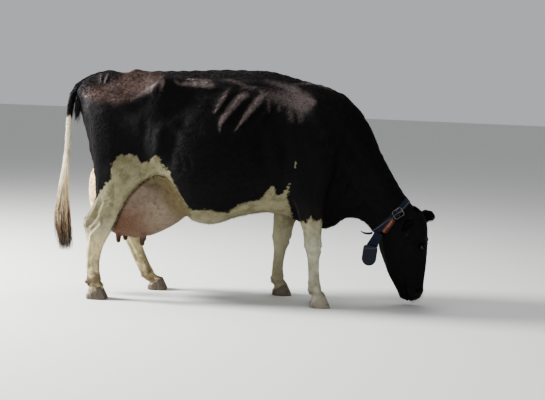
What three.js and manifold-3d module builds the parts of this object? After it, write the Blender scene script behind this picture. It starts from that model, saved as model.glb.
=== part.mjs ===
// A life-size dairy cow, standing and grazing, as a museum model: trunk, neck, head, ears, eyes,
// four legs with their claws, udder, tail and a neck collar with its tag.
// Millimetres, +X towards the head, +Y to the cow's left, +Z up, the floor at Z = 0.

import * as THREE from "three";
import { mergeVertices } from "three/addons/utils/BufferGeometryUtils.js";
import Module from "manifold-3d";

const wasm = await Module();
wasm.setup();

// ---------------------------------------------------------------- driving sizes

const CROUP_HEIGHT = 1466; // top of the hips above the floor
const WITHERS_HEIGHT = 1491; // top of the shoulders
const BARREL_HALF_WIDTH = 372; // widest place of the belly
const CHEST_HALF_WIDTH = 262; // trunk behind the shoulders
const UDDER_HALF_WIDTH = 212;
const NECK_HALF_WIDTH = 102;
const FACE_HALF_WIDTH = 106; // across the eye sockets
const MUZZLE_HALF_WIDTH = 64;
const TRACK_FORE = 192; // from the middle of the body to the middle of a fore foot
const TRACK_HIND = 205;
const CLAW_HEIGHT = 76; // floor to the coronet at the toe
const CLAW_LENGTH = 134;
const CLAW_HALF_WIDTH = 28;
const EYE_RADIUS = 20;
const EAR_LENGTH = 205;
const EAR_HALF_WIDTH = 50;
const EAR_THICKNESS = 15;
const TEAT_LENGTH = 52;
const TEAT_RADIUS = 12;
const STRAP_WIDTH = 44;
const STRAP_THICKNESS = 5;
const BUCKLE_TILT = 18; // degrees, in the plane of the neck's side
const SLEEVE_TILT = -12;
const TAG = { width: 92, height: 132, thickness: 34 };
const CUT = 0.6; // width of the thin cuts between neighbours

// How the head is carried: turned a little towards the cow's right.
const HEAD_TURN = THREE.MathUtils.degToRad(-13);
const HEAD_PIVOT = new THREE.Vector3(850, 0, 600);

const LEFT = 1;
const RIGHT = -1;
const SIDES = { left: LEFT, right: RIGHT };

// ---------------------------------------------------------------- shape tools

const Y_AXIS = new THREE.Vector3(0, 1, 0);
const Z_AXIS = new THREE.Vector3(0, 0, 1);
const point = ([x, y, z]) => new THREE.Vector3(x, y, z);
const middleOf = (section) => section.b.clone().lerp(section.a, section.level);

// A signed power, which turns a circle's sine and cosine into a squarer or a leaner egg.
const lean = (value, power) => Math.sign(value) * Math.abs(value) ** (2 / power);

// Smooth values between the stations of a body part, spaced by the distance between them.
function between(stations) {
  const along = [0];
  const centre = (s) => point(s.a).add(point(s.b)).multiplyScalar(0.5);
  for (let i = 1; i < stations.length; i++) {
    along.push(along[i - 1] + Math.max(1, centre(stations[i]).distanceTo(centre(stations[i - 1]))));
  }
  const values = stations.flatMap((s) => [...s.a, ...s.b, s.wide, s.na ?? 2, s.nb ?? 2, s.level ?? 0.5]);
  const curve = new THREE.CubicInterpolant(along, values, 10);
  const at = (distance) => {
    const v = curve.evaluate(distance);
    return { a: point(v.slice(0, 3)), b: point(v.slice(3, 6)), wide: v[6], na: v[7], nb: v[8], level: v[9] };
  };
  return { along, at };
}

// One point of an egg-shaped section. a and b are its two ends, such as back and belly; it is
// widest at its level between them, and grow makes the whole section larger.
function onSection(section, angle, side, grow) {
  const centre = middleOf(section);
  const upper = Math.sin(angle) >= 0;
  const power = upper ? section.na : section.nb;
  const reach = (upper ? section.a : section.b).clone().sub(centre);
  reach.setLength(reach.length() + grow);
  return centre
    .addScaledVector(side, (section.wide + grow) * lean(Math.cos(angle), power))
    .addScaledVector(reach, Math.abs(lean(Math.sin(angle), power)));
}

// A closed body through egg-shaped sections, with a ring on each station and more between them
// where they lie further apart than a step. Bumps push the surface round a landmark, outwards or
// in their own way. Cup bends it like a leaf.
function loft(stations, { sides = 20, step = 1e4, side = Y_AXIS, bumps = [], grow = 0, cup = 0 } = {}) {
  const { along, at } = between(stations);
  const distances = along.flatMap((start, i) => {
    if (i === along.length - 1) return [start];
    const count = Math.max(1, Math.round((along[i + 1] - start) / step));
    return Array.from({ length: count }, (_, k) => THREE.MathUtils.lerp(start, along[i + 1], k / count));
  });
  const vertices = [];
  const faces = [];
  const turn = sides % 4 === 2 ? 0.5 : 0; // so that a corner lies on a and another on b
  for (const [ring, distance] of distances.entries()) {
    const section = at(distance);
    const centre = middleOf(section);
    const up = section.a.clone().sub(section.b).normalize();
    for (let i = 0; i < sides; i++) {
      const p = onSection(section, (2 * Math.PI * (i + turn)) / sides, side, grow);
      const bare = p.clone();
      for (const bump of bumps) {
        const push = bump.lift * Math.exp(-((bare.distanceTo(point(bump.at)) / bump.radius) ** 2));
        p.addScaledVector(bump.way ? point(bump.way) : bare.clone().sub(centre).normalize(), push);
      }
      p.addScaledVector(up, cup * bare.sub(centre).dot(side) ** 2);
      vertices.push(p);
      if (ring < distances.length - 1) {
        const next = (i + 1) % sides;
        const here = ring * sides;
        faces.push([here + i, here + next, here + sides + next], [here + i, here + sides + next, here + sides + i]);
      }
    }
  }
  const first = vertices.push(middleOf(at(0))) - 1;
  const last = vertices.push(middleOf(at(along.at(-1)))) - 1;
  const end = (distances.length - 1) * sides;
  for (let i = 0; i < sides; i++) {
    const next = (i + 1) % sides;
    faces.push([first, next, i], [last, end + i, end + next]);
  }
  const geometry = new THREE.BufferGeometry();
  const places = vertices.flatMap((v) => v.toArray());
  geometry.setAttribute("position", new THREE.Float32BufferAttribute(places, 3));
  geometry.setIndex(faces.flat());
  return solidOf(geometry);
}

// A closed geometry as a solid for cuts and joins. One that came out inside out is turned round.
function solidOf(geometry) {
  for (const name of ["normal", "uv"]) geometry.deleteAttribute(name);
  const merged = mergeVertices(geometry, 1e-3);
  const vertProperties = merged.attributes.position.array;
  const build = (triVerts) => new wasm.Manifold(new wasm.Mesh({ numProp: 3, vertProperties, triVerts }));
  const solid = build(new Uint32Array(merged.index.array));
  return solid.volume() > 0 ? solid : build(new Uint32Array(merged.index.array).reverse());
}

// The largest body of a solid, without the crumbs that a cut may leave.
const largest = (solid) => solid.decompose().reduce((best, body) => (body.volume() > best.volume() ? body : best));

// A half space, as a block whose face lies on the plane through at, on the side of normal.
const REACH = 4000;
function halfSpace(at, normal) {
  const turn = new THREE.Quaternion().setFromUnitVectors(Z_AXIS, normal);
  const geometry = new THREE.BoxGeometry(REACH, REACH, REACH).translate(0, 0, REACH / 2);
  return solidOf(geometry.applyQuaternion(turn).translate(...at.toArray()));
}

// A solid in two parts, behind and ahead of a plane, with a thin cut between them.
function splitAt(solid, at, normal) {
  const ahead = point(normal).normalize();
  const behind = ahead.clone().negate();
  return [behind, ahead].map((way) => solid.intersect(halfSpace(point(at).addScaledVector(way, CUT / 2), way)));
}

const group = new THREE.Group();
const finish = (color, roughness, metalness = 0) => new THREE.MeshStandardMaterial({ color, roughness, metalness });

function addNode(name, solid, material) {
  const { vertProperties, triVerts, numProp } = largest(solid).getMesh();
  const places = new Float32Array((vertProperties.length / numProp) * 3);
  for (let i = 0; i < places.length / 3; i++) {
    places.set(vertProperties.subarray(i * numProp, i * numProp + 3), i * 3);
  }
  const geometry = new THREE.BufferGeometry();
  geometry.setAttribute("position", new THREE.BufferAttribute(places, 3));
  geometry.setIndex(new THREE.BufferAttribute(triVerts, 1));
  geometry.computeVertexNormals();
  const mesh = new THREE.Mesh(geometry, material);
  mesh.name = name;
  group.add(mesh);
}

const BLACK_COAT = finish(0x17130f, 0.6);
const WHITE_COAT = finish(0xd9cfbb, 0.75);
const UDDER_SKIN = finish(0xb98f7c, 0.6);
const HORN = finish(0x6a5a48, 0.5);
const EYE_DARK = finish(0x120c08, 0.1);
const STRAP_WEB = finish(0x2b2f3d, 0.8);
const SLEEVE_ORANGE = finish(0xc4482a, 0.5);
const STEEL = finish(0x9a9a98, 0.35, 0.9);
const TAG_PLASTIC = finish(0x23263a, 0.5);

// ---------------------------------------------------------------- trunk and neck, one sweep

// From the buttocks over the barrel and the shoulders, then down the lowered neck to the poll.
// a is the back or crest, b the belly, brisket or throat.
const torsoStations = [
  { a: [-1262, 0, 1326], b: [-1262, 0, 1226], wide: 46, level: 0.55 },
  { a: [-1238, 0, 1380], b: [-1234, 0, 1090], wide: 118, level: 0.66 },
  { a: [-1190, 0, 1414], b: [-1176, 0, 960], wide: 168, na: 1.9, level: 0.66 },
  { a: [-1122, 0, 1444], b: [-1100, 0, 860], wide: 202, na: 1.8, level: 0.64 },
  { a: [-1062, 0, 1458], b: [-1040, 0, 800], wide: 225, na: 1.8, level: 0.63 },
  { a: [-1000, 0, 1447], b: [-985, 0, 775], wide: 242, na: 1.9, level: 0.61 },
  { a: [-958, 0, 1442], b: [-945, 0, 762], wide: 252, na: 1.9, level: 0.6 },
  { a: [-915, 0, CROUP_HEIGHT], b: [-900, 0, 752], wide: 262, na: 2, level: 0.56 },
  { a: [-825, 0, CROUP_HEIGHT - 11], b: [-822, 0, 742], wide: 286, na: 2.3, nb: 2.2, level: 0.46 },
  { a: [-745, 0, CROUP_HEIGHT - 8], b: [-742, 0, 736], wide: 308, na: 2.45, nb: 2.4, level: 0.4 },
  { a: [-662, 0, 1461], b: [-662, 0, 706], wide: 332, na: 2.5, nb: 2.4, level: 0.34 },
  { a: [-590, 0, 1465], b: [-602, 0, 600], wide: 352, na: 2.4, nb: 2.2, level: 0.35 },
  { a: [-501, 0, 1471], b: [-520, 0, 502], wide: 0.99 * BARREL_HALF_WIDTH, na: 2.2, level: 0.37 },
  { a: [-341, 0, 1484], b: [-380, 0, 484], wide: BARREL_HALF_WIDTH, na: 1.95, level: 0.38 },
  { a: [-179, 0, 1488], b: [-215, 0, 535], wide: 345, na: 1.75, level: 0.38 },
  { a: [-60, 0, WITHERS_HEIGHT], b: [-50, 0, 570], wide: 302, na: 1.6, level: 0.38 },
  { a: [60, 0, 1468], b: [80, 0, 556], wide: CHEST_HALF_WIDTH, na: 1.5, level: 0.38 },
  { a: [190, 0, 1435], b: [215, 0, 515], wide: 232, na: 1.5, level: 0.38 },
  { a: [325, 0, 1405], b: [340, 0, 484], wide: 196, na: 1.55, nb: 1.8, level: 0.42 },
  { a: [440, 0, 1358], b: [412, 0, 500], wide: 160, na: 1.7, nb: 1.7, level: 0.5 },
  { a: [545, 0, 1260], b: [462, 0, 541], wide: 133, na: 1.8, nb: 1.7, level: 0.55 },
  { a: [622, 0, 1145], b: [507, 0, 557], wide: 116, na: 1.8, nb: 1.7, level: 0.55 },
  { a: [688, 0, 1000], b: [553, 0, 552], wide: NECK_HALF_WIDTH, na: 1.9, nb: 1.8, level: 0.55 },
  { a: [762, 0, 872], b: [602, 0, 534], wide: 0.94 * NECK_HALF_WIDTH, na: 2, nb: 1.9, level: 0.52 },
  { a: [838, 0, 752], b: [642, 0, 498], wide: 0.93 * NECK_HALF_WIDTH, na: 2.1, nb: 2, level: 0.5 },
  { a: [896, 0, 676], b: [675, 0, 462], wide: 0.95 * NECK_HALF_WIDTH, na: 2.2, nb: 2, level: 0.5 },
  { a: [925, 0, 640], b: [735, 0, 450], wide: 0.8 * NECK_HALF_WIDTH, level: 0.5 },
  { a: [915, 0, 600], b: [800, 0, 480], wide: 0.4 * NECK_HALF_WIDTH, level: 0.5 },
];

// Landmarks of the skeleton under the skin, each on both sides.
const mirrored = ([x, y, z], side) => [x, side * y, z];
const onBothSides = (bumps) =>
  bumps.flatMap((bump) =>
    Object.values(SIDES).map((side) => ({
      ...bump,
      at: mirrored(bump.at, side),
      way: bump.way && mirrored(bump.way, side),
    })),
  );
const torsoBumps = onBothSides([
  { at: [-722, 215, 1400], radius: 78, lift: 66, way: [0, 0.98, 0.18] }, // hook bone
  { at: [-1225, 92, 1300], radius: 52, lift: 26, way: [-0.7, 0.7, 0.1] }, // pin bone
  { at: [-1085, 140, 1400], radius: 75, lift: -24 }, // hollow beside the tail head
  { at: [-880, 190, 1400], radius: 90, lift: -18 }, // slope between hook and spine
  { at: [-600, 300, 1230], radius: 125, lift: -44 }, // flank hollow
  { at: [-530, 200, 1430], radius: 95, lift: 18 }, // short ribs of the loin
  { at: [110, 190, 1150], radius: 150, lift: 12 }, // shoulder blade
  { at: [-30, 245, 1180], radius: 90, lift: -14 }, // dip behind the shoulder blade
]);
const torso = (grow = 0) => loft(torsoStations, { sides: 24, step: 72, bumps: torsoBumps, grow });

// The vulva, under the tail head.
const vulvaStations = [
  { a: [-1225, 0, 1300], b: [-1262, 0, 1300], wide: 20 },
  { a: [-1220, 0, 1262], b: [-1281, 0, 1262], wide: 34 },
  { a: [-1210, 0, 1212], b: [-1278, 0, 1212], wide: 36 },
  { a: [-1200, 0, 1164], b: [-1264, 0, 1164], wide: 28 },
  { a: [-1195, 0, 1130], b: [-1240, 0, 1130], wide: 10 },
];
const vulva = (grow = 0) => loft(vulvaStations, { sides: 10, grow });

// ---------------------------------------------------------------- head

// Down the face, from the poll to the lips. a is the forehead and nose, b the throat and jaw.
const headStations = [
  { a: [898, 0, 668], b: [780, 0, 590], wide: 58, level: 0.6 },
  { a: [932, 0, 645], b: [752, 0, 540], wide: 74, na: 2.2, level: 0.6 },
  { a: [964, 0, 624], b: [716, 0, 476], wide: 86, na: 2.3, nb: 1.8, level: 0.62 },
  { a: [992, 0, 598], b: [703, 0, 430], wide: 93, na: 2.5, nb: 1.8, level: 0.64 },
  { a: [1010, 0, 556], b: [703, 0, 392], wide: 98, na: 2.7, nb: 1.7, level: 0.66 },
  { a: [1019, 0, 503], b: [714, 0, 352], wide: 103, na: 2.8, nb: 1.6, level: 0.68 },
  { a: [1023, 0, 442], b: [730, 0, 310], wide: FACE_HALF_WIDTH, na: 2.9, nb: 1.6, level: 0.68 },
  { a: [1023, 0, 382], b: [746, 0, 270], wide: 96, na: 2.7, nb: 1.6, level: 0.66 },
  { a: [1021, 0, 316], b: [763, 0, 226], wide: 78, na: 2.4, nb: 1.7, level: 0.6 },
  { a: [1018, 0, 248], b: [784, 0, 184], wide: 66, na: 2.2, nb: 1.8, level: 0.56 },
  { a: [1013, 0, 182], b: [810, 0, 142], wide: 57, na: 2.2, nb: 1.9, level: 0.55 },
  { a: [1009, 0, 128], b: [832, 0, 106], wide: 0.9 * MUZZLE_HALF_WIDTH, na: 2.3, nb: 2, level: 0.56 },
  { a: [1006, 0, 90], b: [848, 0, 78], wide: MUZZLE_HALF_WIDTH, na: 2.5, nb: 2.1, level: 0.58 },
  { a: [996, 0, 60], b: [866, 0, 54], wide: 0.92 * MUZZLE_HALF_WIDTH, na: 2.4, nb: 2.2, level: 0.58 },
  { a: [970, 0, 42], b: [892, 0, 40], wide: 0.6 * MUZZLE_HALF_WIDTH, level: 0.55 },
];
const EYE = [989, 87, 402]; // centre of the left eyeball, before the head is turned
const headBumps = onBothSides([
  { at: [1000, 98, 440], radius: 36, lift: 16, way: [0.35, 0.9, 0.2] }, // brow over the eye
  { at: [930, 104, 400], radius: 45, lift: 8 }, // cheek bone
  { at: [992, 92, 352], radius: 34, lift: -9 }, // hollow under the eye
  { at: [1000, 40, 110], radius: 30, lift: 7 }, // rim of the nostril
  { at: [765, 60, 380], radius: 65, lift: 8 }, // jaw muscle
]);

// The turn of the head, which the eyes share.
const carriage = new THREE.Matrix4()
  .makeTranslation(HEAD_PIVOT)
  .multiply(new THREE.Matrix4().makeRotationZ(HEAD_TURN))
  .multiply(new THREE.Matrix4().makeTranslation(HEAD_PIVOT.clone().negate()));
const skull = (grow = 0) =>
  loft(headStations, { sides: 18, bumps: headBumps, grow }).transform(carriage.elements.slice());

function eyeball(side, grow = 0) {
  const centre = point(mirrored(EYE, side)).applyMatrix4(carriage);
  const geometry = new THREE.SphereGeometry(EYE_RADIUS + grow, 12, 7);
  return solidOf(geometry.translate(...centre.toArray()));
}

// ---------------------------------------------------------------- ears

// A leaf with a narrow base, cupped along its length. reach points from base to tip, open is the
// way that the hollow of the ear faces, and droop lowers the tip.
const EAR_OUTLINE = [
  { share: 0, wide: 0.34, thick: 2.2 },
  { share: 0.12, wide: 0.52, thick: 2 },
  { share: 0.3, wide: 0.84, thick: 1.4 },
  { share: 0.5, wide: 1, thick: 1 },
  { share: 0.7, wide: 0.88, thick: 0.85 },
  { share: 0.86, wide: 0.58, thick: 0.7 },
  { share: 0.97, wide: 0.24, thick: 0.5 },
];
function ear({ base, reach, open, droop }) {
  const along = point(reach).normalize();
  const across = new THREE.Vector3().crossVectors(point(open), along).normalize();
  const inner = new THREE.Vector3().crossVectors(along, across).normalize();
  const stations = EAR_OUTLINE.map(({ share, wide, thick }) => {
    const centre = point(base).addScaledVector(along, share * EAR_LENGTH);
    centre.addScaledVector(Z_AXIS, -droop * share ** 2);
    const half = (EAR_THICKNESS / 2) * thick;
    return {
      a: centre.clone().addScaledVector(inner, half).toArray(),
      b: centre.clone().addScaledVector(inner, -half).toArray(),
      wide: EAR_HALF_WIDTH * wide,
      na: 1.6,
      nb: 1.6,
    };
  });
  return loft(stations, { sides: 10, side: across, cup: 0.0075 });
}
const ears = {
  left: ear({ base: [950, 62, 594], reach: [0.68, 0.72, 0.16], open: [0.35, -0.45, -0.8], droop: 66 }),
  right: ear({ base: [890, -60, 574], reach: [-0.28, -0.94, -0.16], open: [0.55, -0.15, -0.8], droop: 12 }),
};

// ---------------------------------------------------------------- legs

// Rows of a limb, from its top to the coronet: height, middle and half length from front to back,
// distance from the middle of the body, half width.
function legStations(rows, side) {
  return rows.map(([z, x, long, y, wide, power = 2]) => ({
    a: [x + long, side * y, z],
    b: [x - long, side * y, z],
    wide,
    na: power,
    nb: power,
  }));
}

// The shoulder blade and upper arm, the same on both sides, then each fore leg in its own step:
// forearm, knee at 385, cannon, fetlock at 140, pastern.
const SHOULDER = [
  [1330, 80, 34, 78, 24],
  [1270, 96, 88, 112, 52],
  [1180, 132, 130, 150, 72],
  [1070, 186, 160, 178, 82],
  [960, 226, 172, 196, 84],
  [860, 232, 158, 204, 82],
  [780, 226, 138, 206, 76],
];
const FORE_RIGHT = [
  [700, 228, 114, 205, 69],
  [630, 238, 92, 202, 59],
  [560, 247, 77, 198, 52],
  [480, 260, 61, 195, 45],
  [430, 264, 57, 193, 46],
  [385, 269, 54, 192, 50],
  [345, 273, 47, 192, 45],
  [305, 275, 39, 192, 34],
  [240, 279, 36, 192, 29],
  [180, 284, 37, 192, 31],
  [140, 287, 43, 192, 42],
  [112, 294, 45, 192, 41],
  [84, 308, 46, 192, 45],
  [58, 324, 38, 192, 42],
];
const FORE_LEFT = [
  [700, 186, 118, 205, 69],
  [630, 138, 102, 202, 60],
  [560, 98, 86, 198, 53],
  [480, 82, 72, 195, 47],
  [430, 76, 66, 193, 47],
  [385, 71, 61, 192, 50],
  [345, 69, 54, 192, 45],
  [305, 64, 43, 192, 34],
  [240, 57, 38, 192, 29],
  [180, 53, 38, 192, 31],
  [140, 54, 42, 192, 42],
  [112, 57, 46, 192, 41],
  [84, 64, 48, 192, 45],
  [58, 76, 42, 192, 42],
];

// The rump and thigh, then gaskin, hock at 466, cannon, fetlock at 138, pastern.
const HAUNCH = [
  [1325, -1010, 96, 118, 44],
  [1262, -1020, 200, 138, 82],
  [1160, -998, 226, 158, 97],
  [1040, -976, 218, 174, 99],
  [930, -962, 206, 186, 93],
  [850, -950, 196, 193, 84],
];
const HIND_RIGHT = [
  [780, -962, 172, 198, 76],
  [715, -990, 134, 201, 66],
  [655, -1008, 108, 203, 58],
  [600, -1031, 99, 205, 50],
  [545, -1058, 101, 205, 44],
  [500, -1080, 107, 205, 42],
  [466, -1091, 101, 205, 42, 2.2],
  [425, -1095, 83, 205, 44, 2.2],
  [380, -1103, 66, 205, 43],
  [335, -1112, 55, 205, 36],
  [290, -1118, 48, 205, 30],
  [230, -1121, 43, 205, 29],
  [175, -1119, 43, 205, 31],
  [138, -1115, 46, 205, 42],
  [110, -1108, 46, 205, 41],
  [84, -1100, 48, 205, 45],
  [58, -1090, 42, 205, 43],
];
const HIND_LEFT = [
  [780, -950, 164, 198, 76],
  [715, -960, 134, 201, 66],
  [655, -970, 112, 203, 58],
  [600, -984, 100, 205, 50],
  [545, -1002, 96, 205, 44],
  [500, -1012, 100, 205, 42],
  [466, -1008, 98, 205, 42, 2.2],
  [425, -990, 84, 205, 44, 2.2],
  [380, -964, 68, 205, 43],
  [335, -934, 56, 205, 36],
  [290, -912, 52, 205, 30],
  [230, -886, 50, 205, 29],
  [175, -860, 49, 205, 31],
  [138, -841, 51, 205, 42],
  [110, -824, 52, 205, 41],
  [84, -808, 52, 205, 45],
  [58, -790, 44, 205, 43],
];
const legs = {
  fore_left: { rows: [...SHOULDER, ...FORE_LEFT], side: LEFT, track: TRACK_FORE, toe: 156 },
  fore_right: { rows: [...SHOULDER, ...FORE_RIGHT], side: RIGHT, track: TRACK_FORE, toe: 397 },
  hind_left: { rows: [...HAUNCH, ...HIND_LEFT], side: LEFT, track: TRACK_HIND, toe: -684 },
  hind_right: { rows: [...HAUNCH, ...HIND_RIGHT], side: RIGHT, track: TRACK_HIND, toe: -1022 },
};
const limb = ({ rows, side }, grow = 0) => loft(legStations(rows, side), { sides: 10, grow });

// One claw of a cloven hoof: flat sole, sloping toe wall, rounded heel.
function claw({ side, track, toe }, place, grow = 0) {
  const y = side * track + place * (CLAW_HALF_WIDTH + 3);
  const row = (z, front, back, wide) => ({
    a: [toe + front, y, z],
    b: [toe - CLAW_LENGTH + back, y, z],
    wide,
    nb: 2.6,
  });
  const stations = [
    row(-grow, 0, 2, CLAW_HALF_WIDTH),
    row(0.35 * CLAW_HEIGHT, -12, 0, CLAW_HALF_WIDTH),
    row(0.75 * CLAW_HEIGHT, -27, 2, CLAW_HALF_WIDTH - 3),
    row(CLAW_HEIGHT, -37, 12, CLAW_HALF_WIDTH - 8),
    row(CLAW_HEIGHT + 8, -54, 34, CLAW_HALF_WIDTH - 17),
  ];
  return loft(stations, { sides: 10, grow });
}

// The two small horny points behind each fetlock.
function dewclaw({ side, track, toe }, place, grow = 0) {
  const geometry = new THREE.ConeGeometry(15 + grow, 44, 7).rotateX(Math.PI / 2);
  geometry.rotateX(Math.PI / 2).rotateY(THREE.MathUtils.degToRad(24));
  return solidOf(geometry.translate(toe - CLAW_LENGTH - 2, side * track + place * 23, 104));
}

// ---------------------------------------------------------------- udder and teats

const udderStations = [
  { a: [-1190, 0, 742], b: [-1190, 0, 636], wide: 0.18 * UDDER_HALF_WIDTH },
  { a: [-1180, 0, 800], b: [-1180, 0, 560], wide: 0.44 * UDDER_HALF_WIDTH },
  { a: [-1148, 0, 850], b: [-1148, 0, 480], wide: 0.66 * UDDER_HALF_WIDTH },
  { a: [-1085, 0, 870], b: [-1085, 0, 416], wide: 0.82 * UDDER_HALF_WIDTH, level: 0.42 },
  { a: [-990, 0, 870], b: [-990, 0, 383], wide: 0.93 * UDDER_HALF_WIDTH, level: 0.42 },
  { a: [-880, 0, 860], b: [-880, 0, 367], wide: 0.99 * UDDER_HALF_WIDTH, level: 0.45 },
  { a: [-775, 0, 850], b: [-775, 0, 386], wide: UDDER_HALF_WIDTH, level: 0.48 },
  { a: [-685, 0, 830], b: [-685, 0, 428], wide: 0.98 * UDDER_HALF_WIDTH, level: 0.48 },
  { a: [-620, 0, 780], b: [-620, 0, 470], wide: 0.9 * UDDER_HALF_WIDTH, level: 0.5 },
  { a: [-572, 0, 720], b: [-572, 0, 508], wide: 0.74 * UDDER_HALF_WIDTH, level: 0.5 },
  { a: [-545, 0, 670], b: [-545, 0, 545], wide: 0.5 * UDDER_HALF_WIDTH, level: 0.5 },
  { a: [-532, 0, 640], b: [-532, 0, 575], wide: 0.2 * UDDER_HALF_WIDTH, level: 0.5 },
];
const udderWhole = (grow = 0) => loft(udderStations, { sides: 16, grow });
const teats = {
  front_left: [-842, 108, 376],
  front_right: [-824, -112, 376],
  rear_left: [-960, 66, 384],
  rear_right: [-984, -74, 386],
};
function teat([x, y, z]) {
  const row = (height, radius) => ({ a: [x + radius, y, z + height], b: [x - radius, y, z + height], wide: radius });
  const stations = [
    row(40, TEAT_RADIUS + 8),
    row(12, TEAT_RADIUS + 3),
    row(-0.4 * TEAT_LENGTH, TEAT_RADIUS),
    row(-0.62 * TEAT_LENGTH, 0.9 * TEAT_RADIUS),
    row(-0.74 * TEAT_LENGTH, 0.45 * TEAT_RADIUS),
  ];
  return loft(stations, { sides: 8 });
}

// ---------------------------------------------------------------- tail

// The tail leaves the tail head, turns over behind the pins and hangs: x, z and half thickness.
const tailRows = [
  [-1078, 1428, 20],
  [-1130, 1416, 26],
  [-1182, 1394, 27],
  [-1232, 1367, 28],
  [-1278, 1333, 27],
  [-1310, 1285, 23],
  [-1326, 1222, 20],
  [-1333, 1140, 19],
  [-1337, 1045, 19],
  [-1341, 940, 18],
  [-1350, 840, 19],
  [-1358, 740, 27],
  [-1363, 640, 36],
  [-1366, 560, 44],
  [-1366, 490, 50],
  [-1360, 430, 49],
  [-1347, 378, 41],
  [-1334, 325, 29],
  [-1327, 280, 10],
];
const TAIL_CUTS = { dock: [-1333, 0, 1150], shaft: [-1352, 0, 820] };
const tailStations = tailRows.map(([x, z, half], i) => {
  const before = tailRows[Math.max(0, i - 1)];
  const after = tailRows[Math.min(tailRows.length - 1, i + 1)];
  const across = new THREE.Vector3(after[1] - before[1], 0, before[0] - after[0]).setLength(half);
  return { a: [x - across.x, 0, z - across.z], b: [x + across.x, 0, z + across.z], wide: 0.86 * half };
});
const tail = loft(tailStations, { sides: 10 });

// ---------------------------------------------------------------- collar

// The strap lies in a plane across the neck. up runs along it from throat to crest, ahead along
// the neck towards the head.
const COLLAR = {
  at: new THREE.Vector3(773, 0, 584),
  up: new THREE.Vector3(0.685, 0, 0.729).normalize(),
  ahead: new THREE.Vector3(0.729, 0, -0.685).normalize(),
};
const onCollar = (up, ahead, y) =>
  COLLAR.at.clone().addScaledVector(COLLAR.up, up).addScaledVector(COLLAR.ahead, ahead).setY(y);
const collarBasis = new THREE.Matrix4().makeBasis(COLLAR.up, Y_AXIS, COLLAR.ahead.clone().negate());

// A block in the collar's own directions, turned by tilt in the plane of the neck's side.
function collarBlock({ up, ahead, y, long, wide, deep, tilt = 0 }) {
  const geometry = new THREE.BoxGeometry(long, deep, wide).rotateY(THREE.MathUtils.degToRad(tilt));
  return solidOf(geometry.applyMatrix4(collarBasis).translate(...onCollar(up, ahead, y).toArray()));
}
const neckSkin = (grow) => torso(grow).add(skull(grow));
const shell = (inside, thickness) => neckSkin(inside + thickness).subtract(neckSkin(inside));

// The steel buckle: a rounded frame with a middle bar, lying against the right side of the neck.
function buckle() {
  const rounded = (path, x, w, h, r) =>
    path.moveTo(x - w / 2 + r, -h / 2)
      .lineTo(x + w / 2 - r, -h / 2)
      .quadraticCurveTo(x + w / 2, -h / 2, x + w / 2, -h / 2 + r)
      .lineTo(x + w / 2, h / 2 - r)
      .quadraticCurveTo(x + w / 2, h / 2, x + w / 2 - r, h / 2)
      .lineTo(x - w / 2 + r, h / 2)
      .quadraticCurveTo(x - w / 2, h / 2, x - w / 2, h / 2 - r)
      .lineTo(x - w / 2, -h / 2 + r)
      .quadraticCurveTo(x - w / 2, -h / 2, x - w / 2 + r, -h / 2);
  const shape = rounded(new THREE.Shape(), 0, 66, 52, 10);
  for (const side of [-1, 1]) shape.holes.push(rounded(new THREE.Path(), side * 15.5, 23, 40, 6));
  const geometry = new THREE.ExtrudeGeometry(shape, { depth: 5, bevelEnabled: false, curveSegments: 2 });
  geometry.rotateX(Math.PI / 2).rotateY(THREE.MathUtils.degToRad(BUCKLE_TILT));
  geometry.rotateZ(THREE.MathUtils.degToRad(-9));
  return solidOf(geometry.applyMatrix4(collarBasis).translate(...onCollar(46, 8, -104).toArray()));
}

// A strip of webbing through rows that give its middle, the way across it and its half width.
function strip(rows, thickness) {
  const stations = rows.map(({ at, way: [dx, dz], half }) => {
    const across = new THREE.Vector3(dx, 0, dz).setLength(half);
    return {
      a: point(at).add(across).toArray(),
      b: point(at).sub(across).toArray(),
      wide: thickness / 2,
      na: 4,
      nb: 4,
    };
  });
  return loft(stations, { sides: 8 });
}

// The tag hangs under the throat from a short strap; the strap's loose end curves back.
const tagStrap = strip(
  [
    { at: [694, -66, 474], way: [0.9, -0.3], half: 24 },
    { at: [682, -60, 446], way: [0.9, -0.3], half: 25 },
    { at: [666, -50, 412], way: [0.92, -0.2], half: 28 },
    { at: [656, -44, 386], way: [0.95, -0.1], half: 34 },
  ],
  5,
);
const looseEnd = strip(
  [
    { at: [656, -46, 473], way: [0.2, 1], half: 8 },
    { at: [638, -48, 468], way: [0.1, 1], half: 8 },
    { at: [618, -48, 467], way: [0, 1], half: 7 },
    { at: [597, -48, 471], way: [-0.2, 1], half: 6 },
    { at: [578, -46, 481], way: [-0.5, 1], half: 5 },
  ],
  4,
);
function tag(grow = 0) {
  const { width, height, thickness } = TAG;
  const bevel = 4;
  const r = width / 2 - bevel + grow;
  const top = height / 2 - bevel + grow;
  const shape = new THREE.Shape();
  shape.absarc(0, r - top, r, Math.PI, 2 * Math.PI);
  shape.lineTo(r, top - 18).quadraticCurveTo(r, top, r - 20, top);
  shape.lineTo(20 - r, top).quadraticCurveTo(-r, top, -r, top - 18);
  const depth = thickness - 2 * bevel + 2 * grow;
  const edges = { bevelThickness: bevel, bevelSize: bevel, bevelSegments: 1, curveSegments: 7 };
  const geometry = new THREE.ExtrudeGeometry(shape, { depth, ...edges }).translate(0, 0, -depth / 2);
  return solidOf(geometry.rotateX(Math.PI / 2).rotateY(0.1).translate(643, -42, 324));
}

// ---------------------------------------------------------------- parting the cow into nodes

const gap = CUT / 2 + 0.1;
const whole = torso().add(vulva()).add(skull());
const [trunk, front] = splitAt(whole, [300, 0, 1000], [1, 0, 0.08]);
const [neck, headWhole] = splitAt(front, [842, 0, 562], [0.72, 0, -0.69]);
const torsoGrown = torso(gap).add(vulva(gap + 0.5));
const headGrown = neckSkin(gap);
const legsGrown = Object.values(legs).map((leg) => limb(leg, gap));

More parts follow.
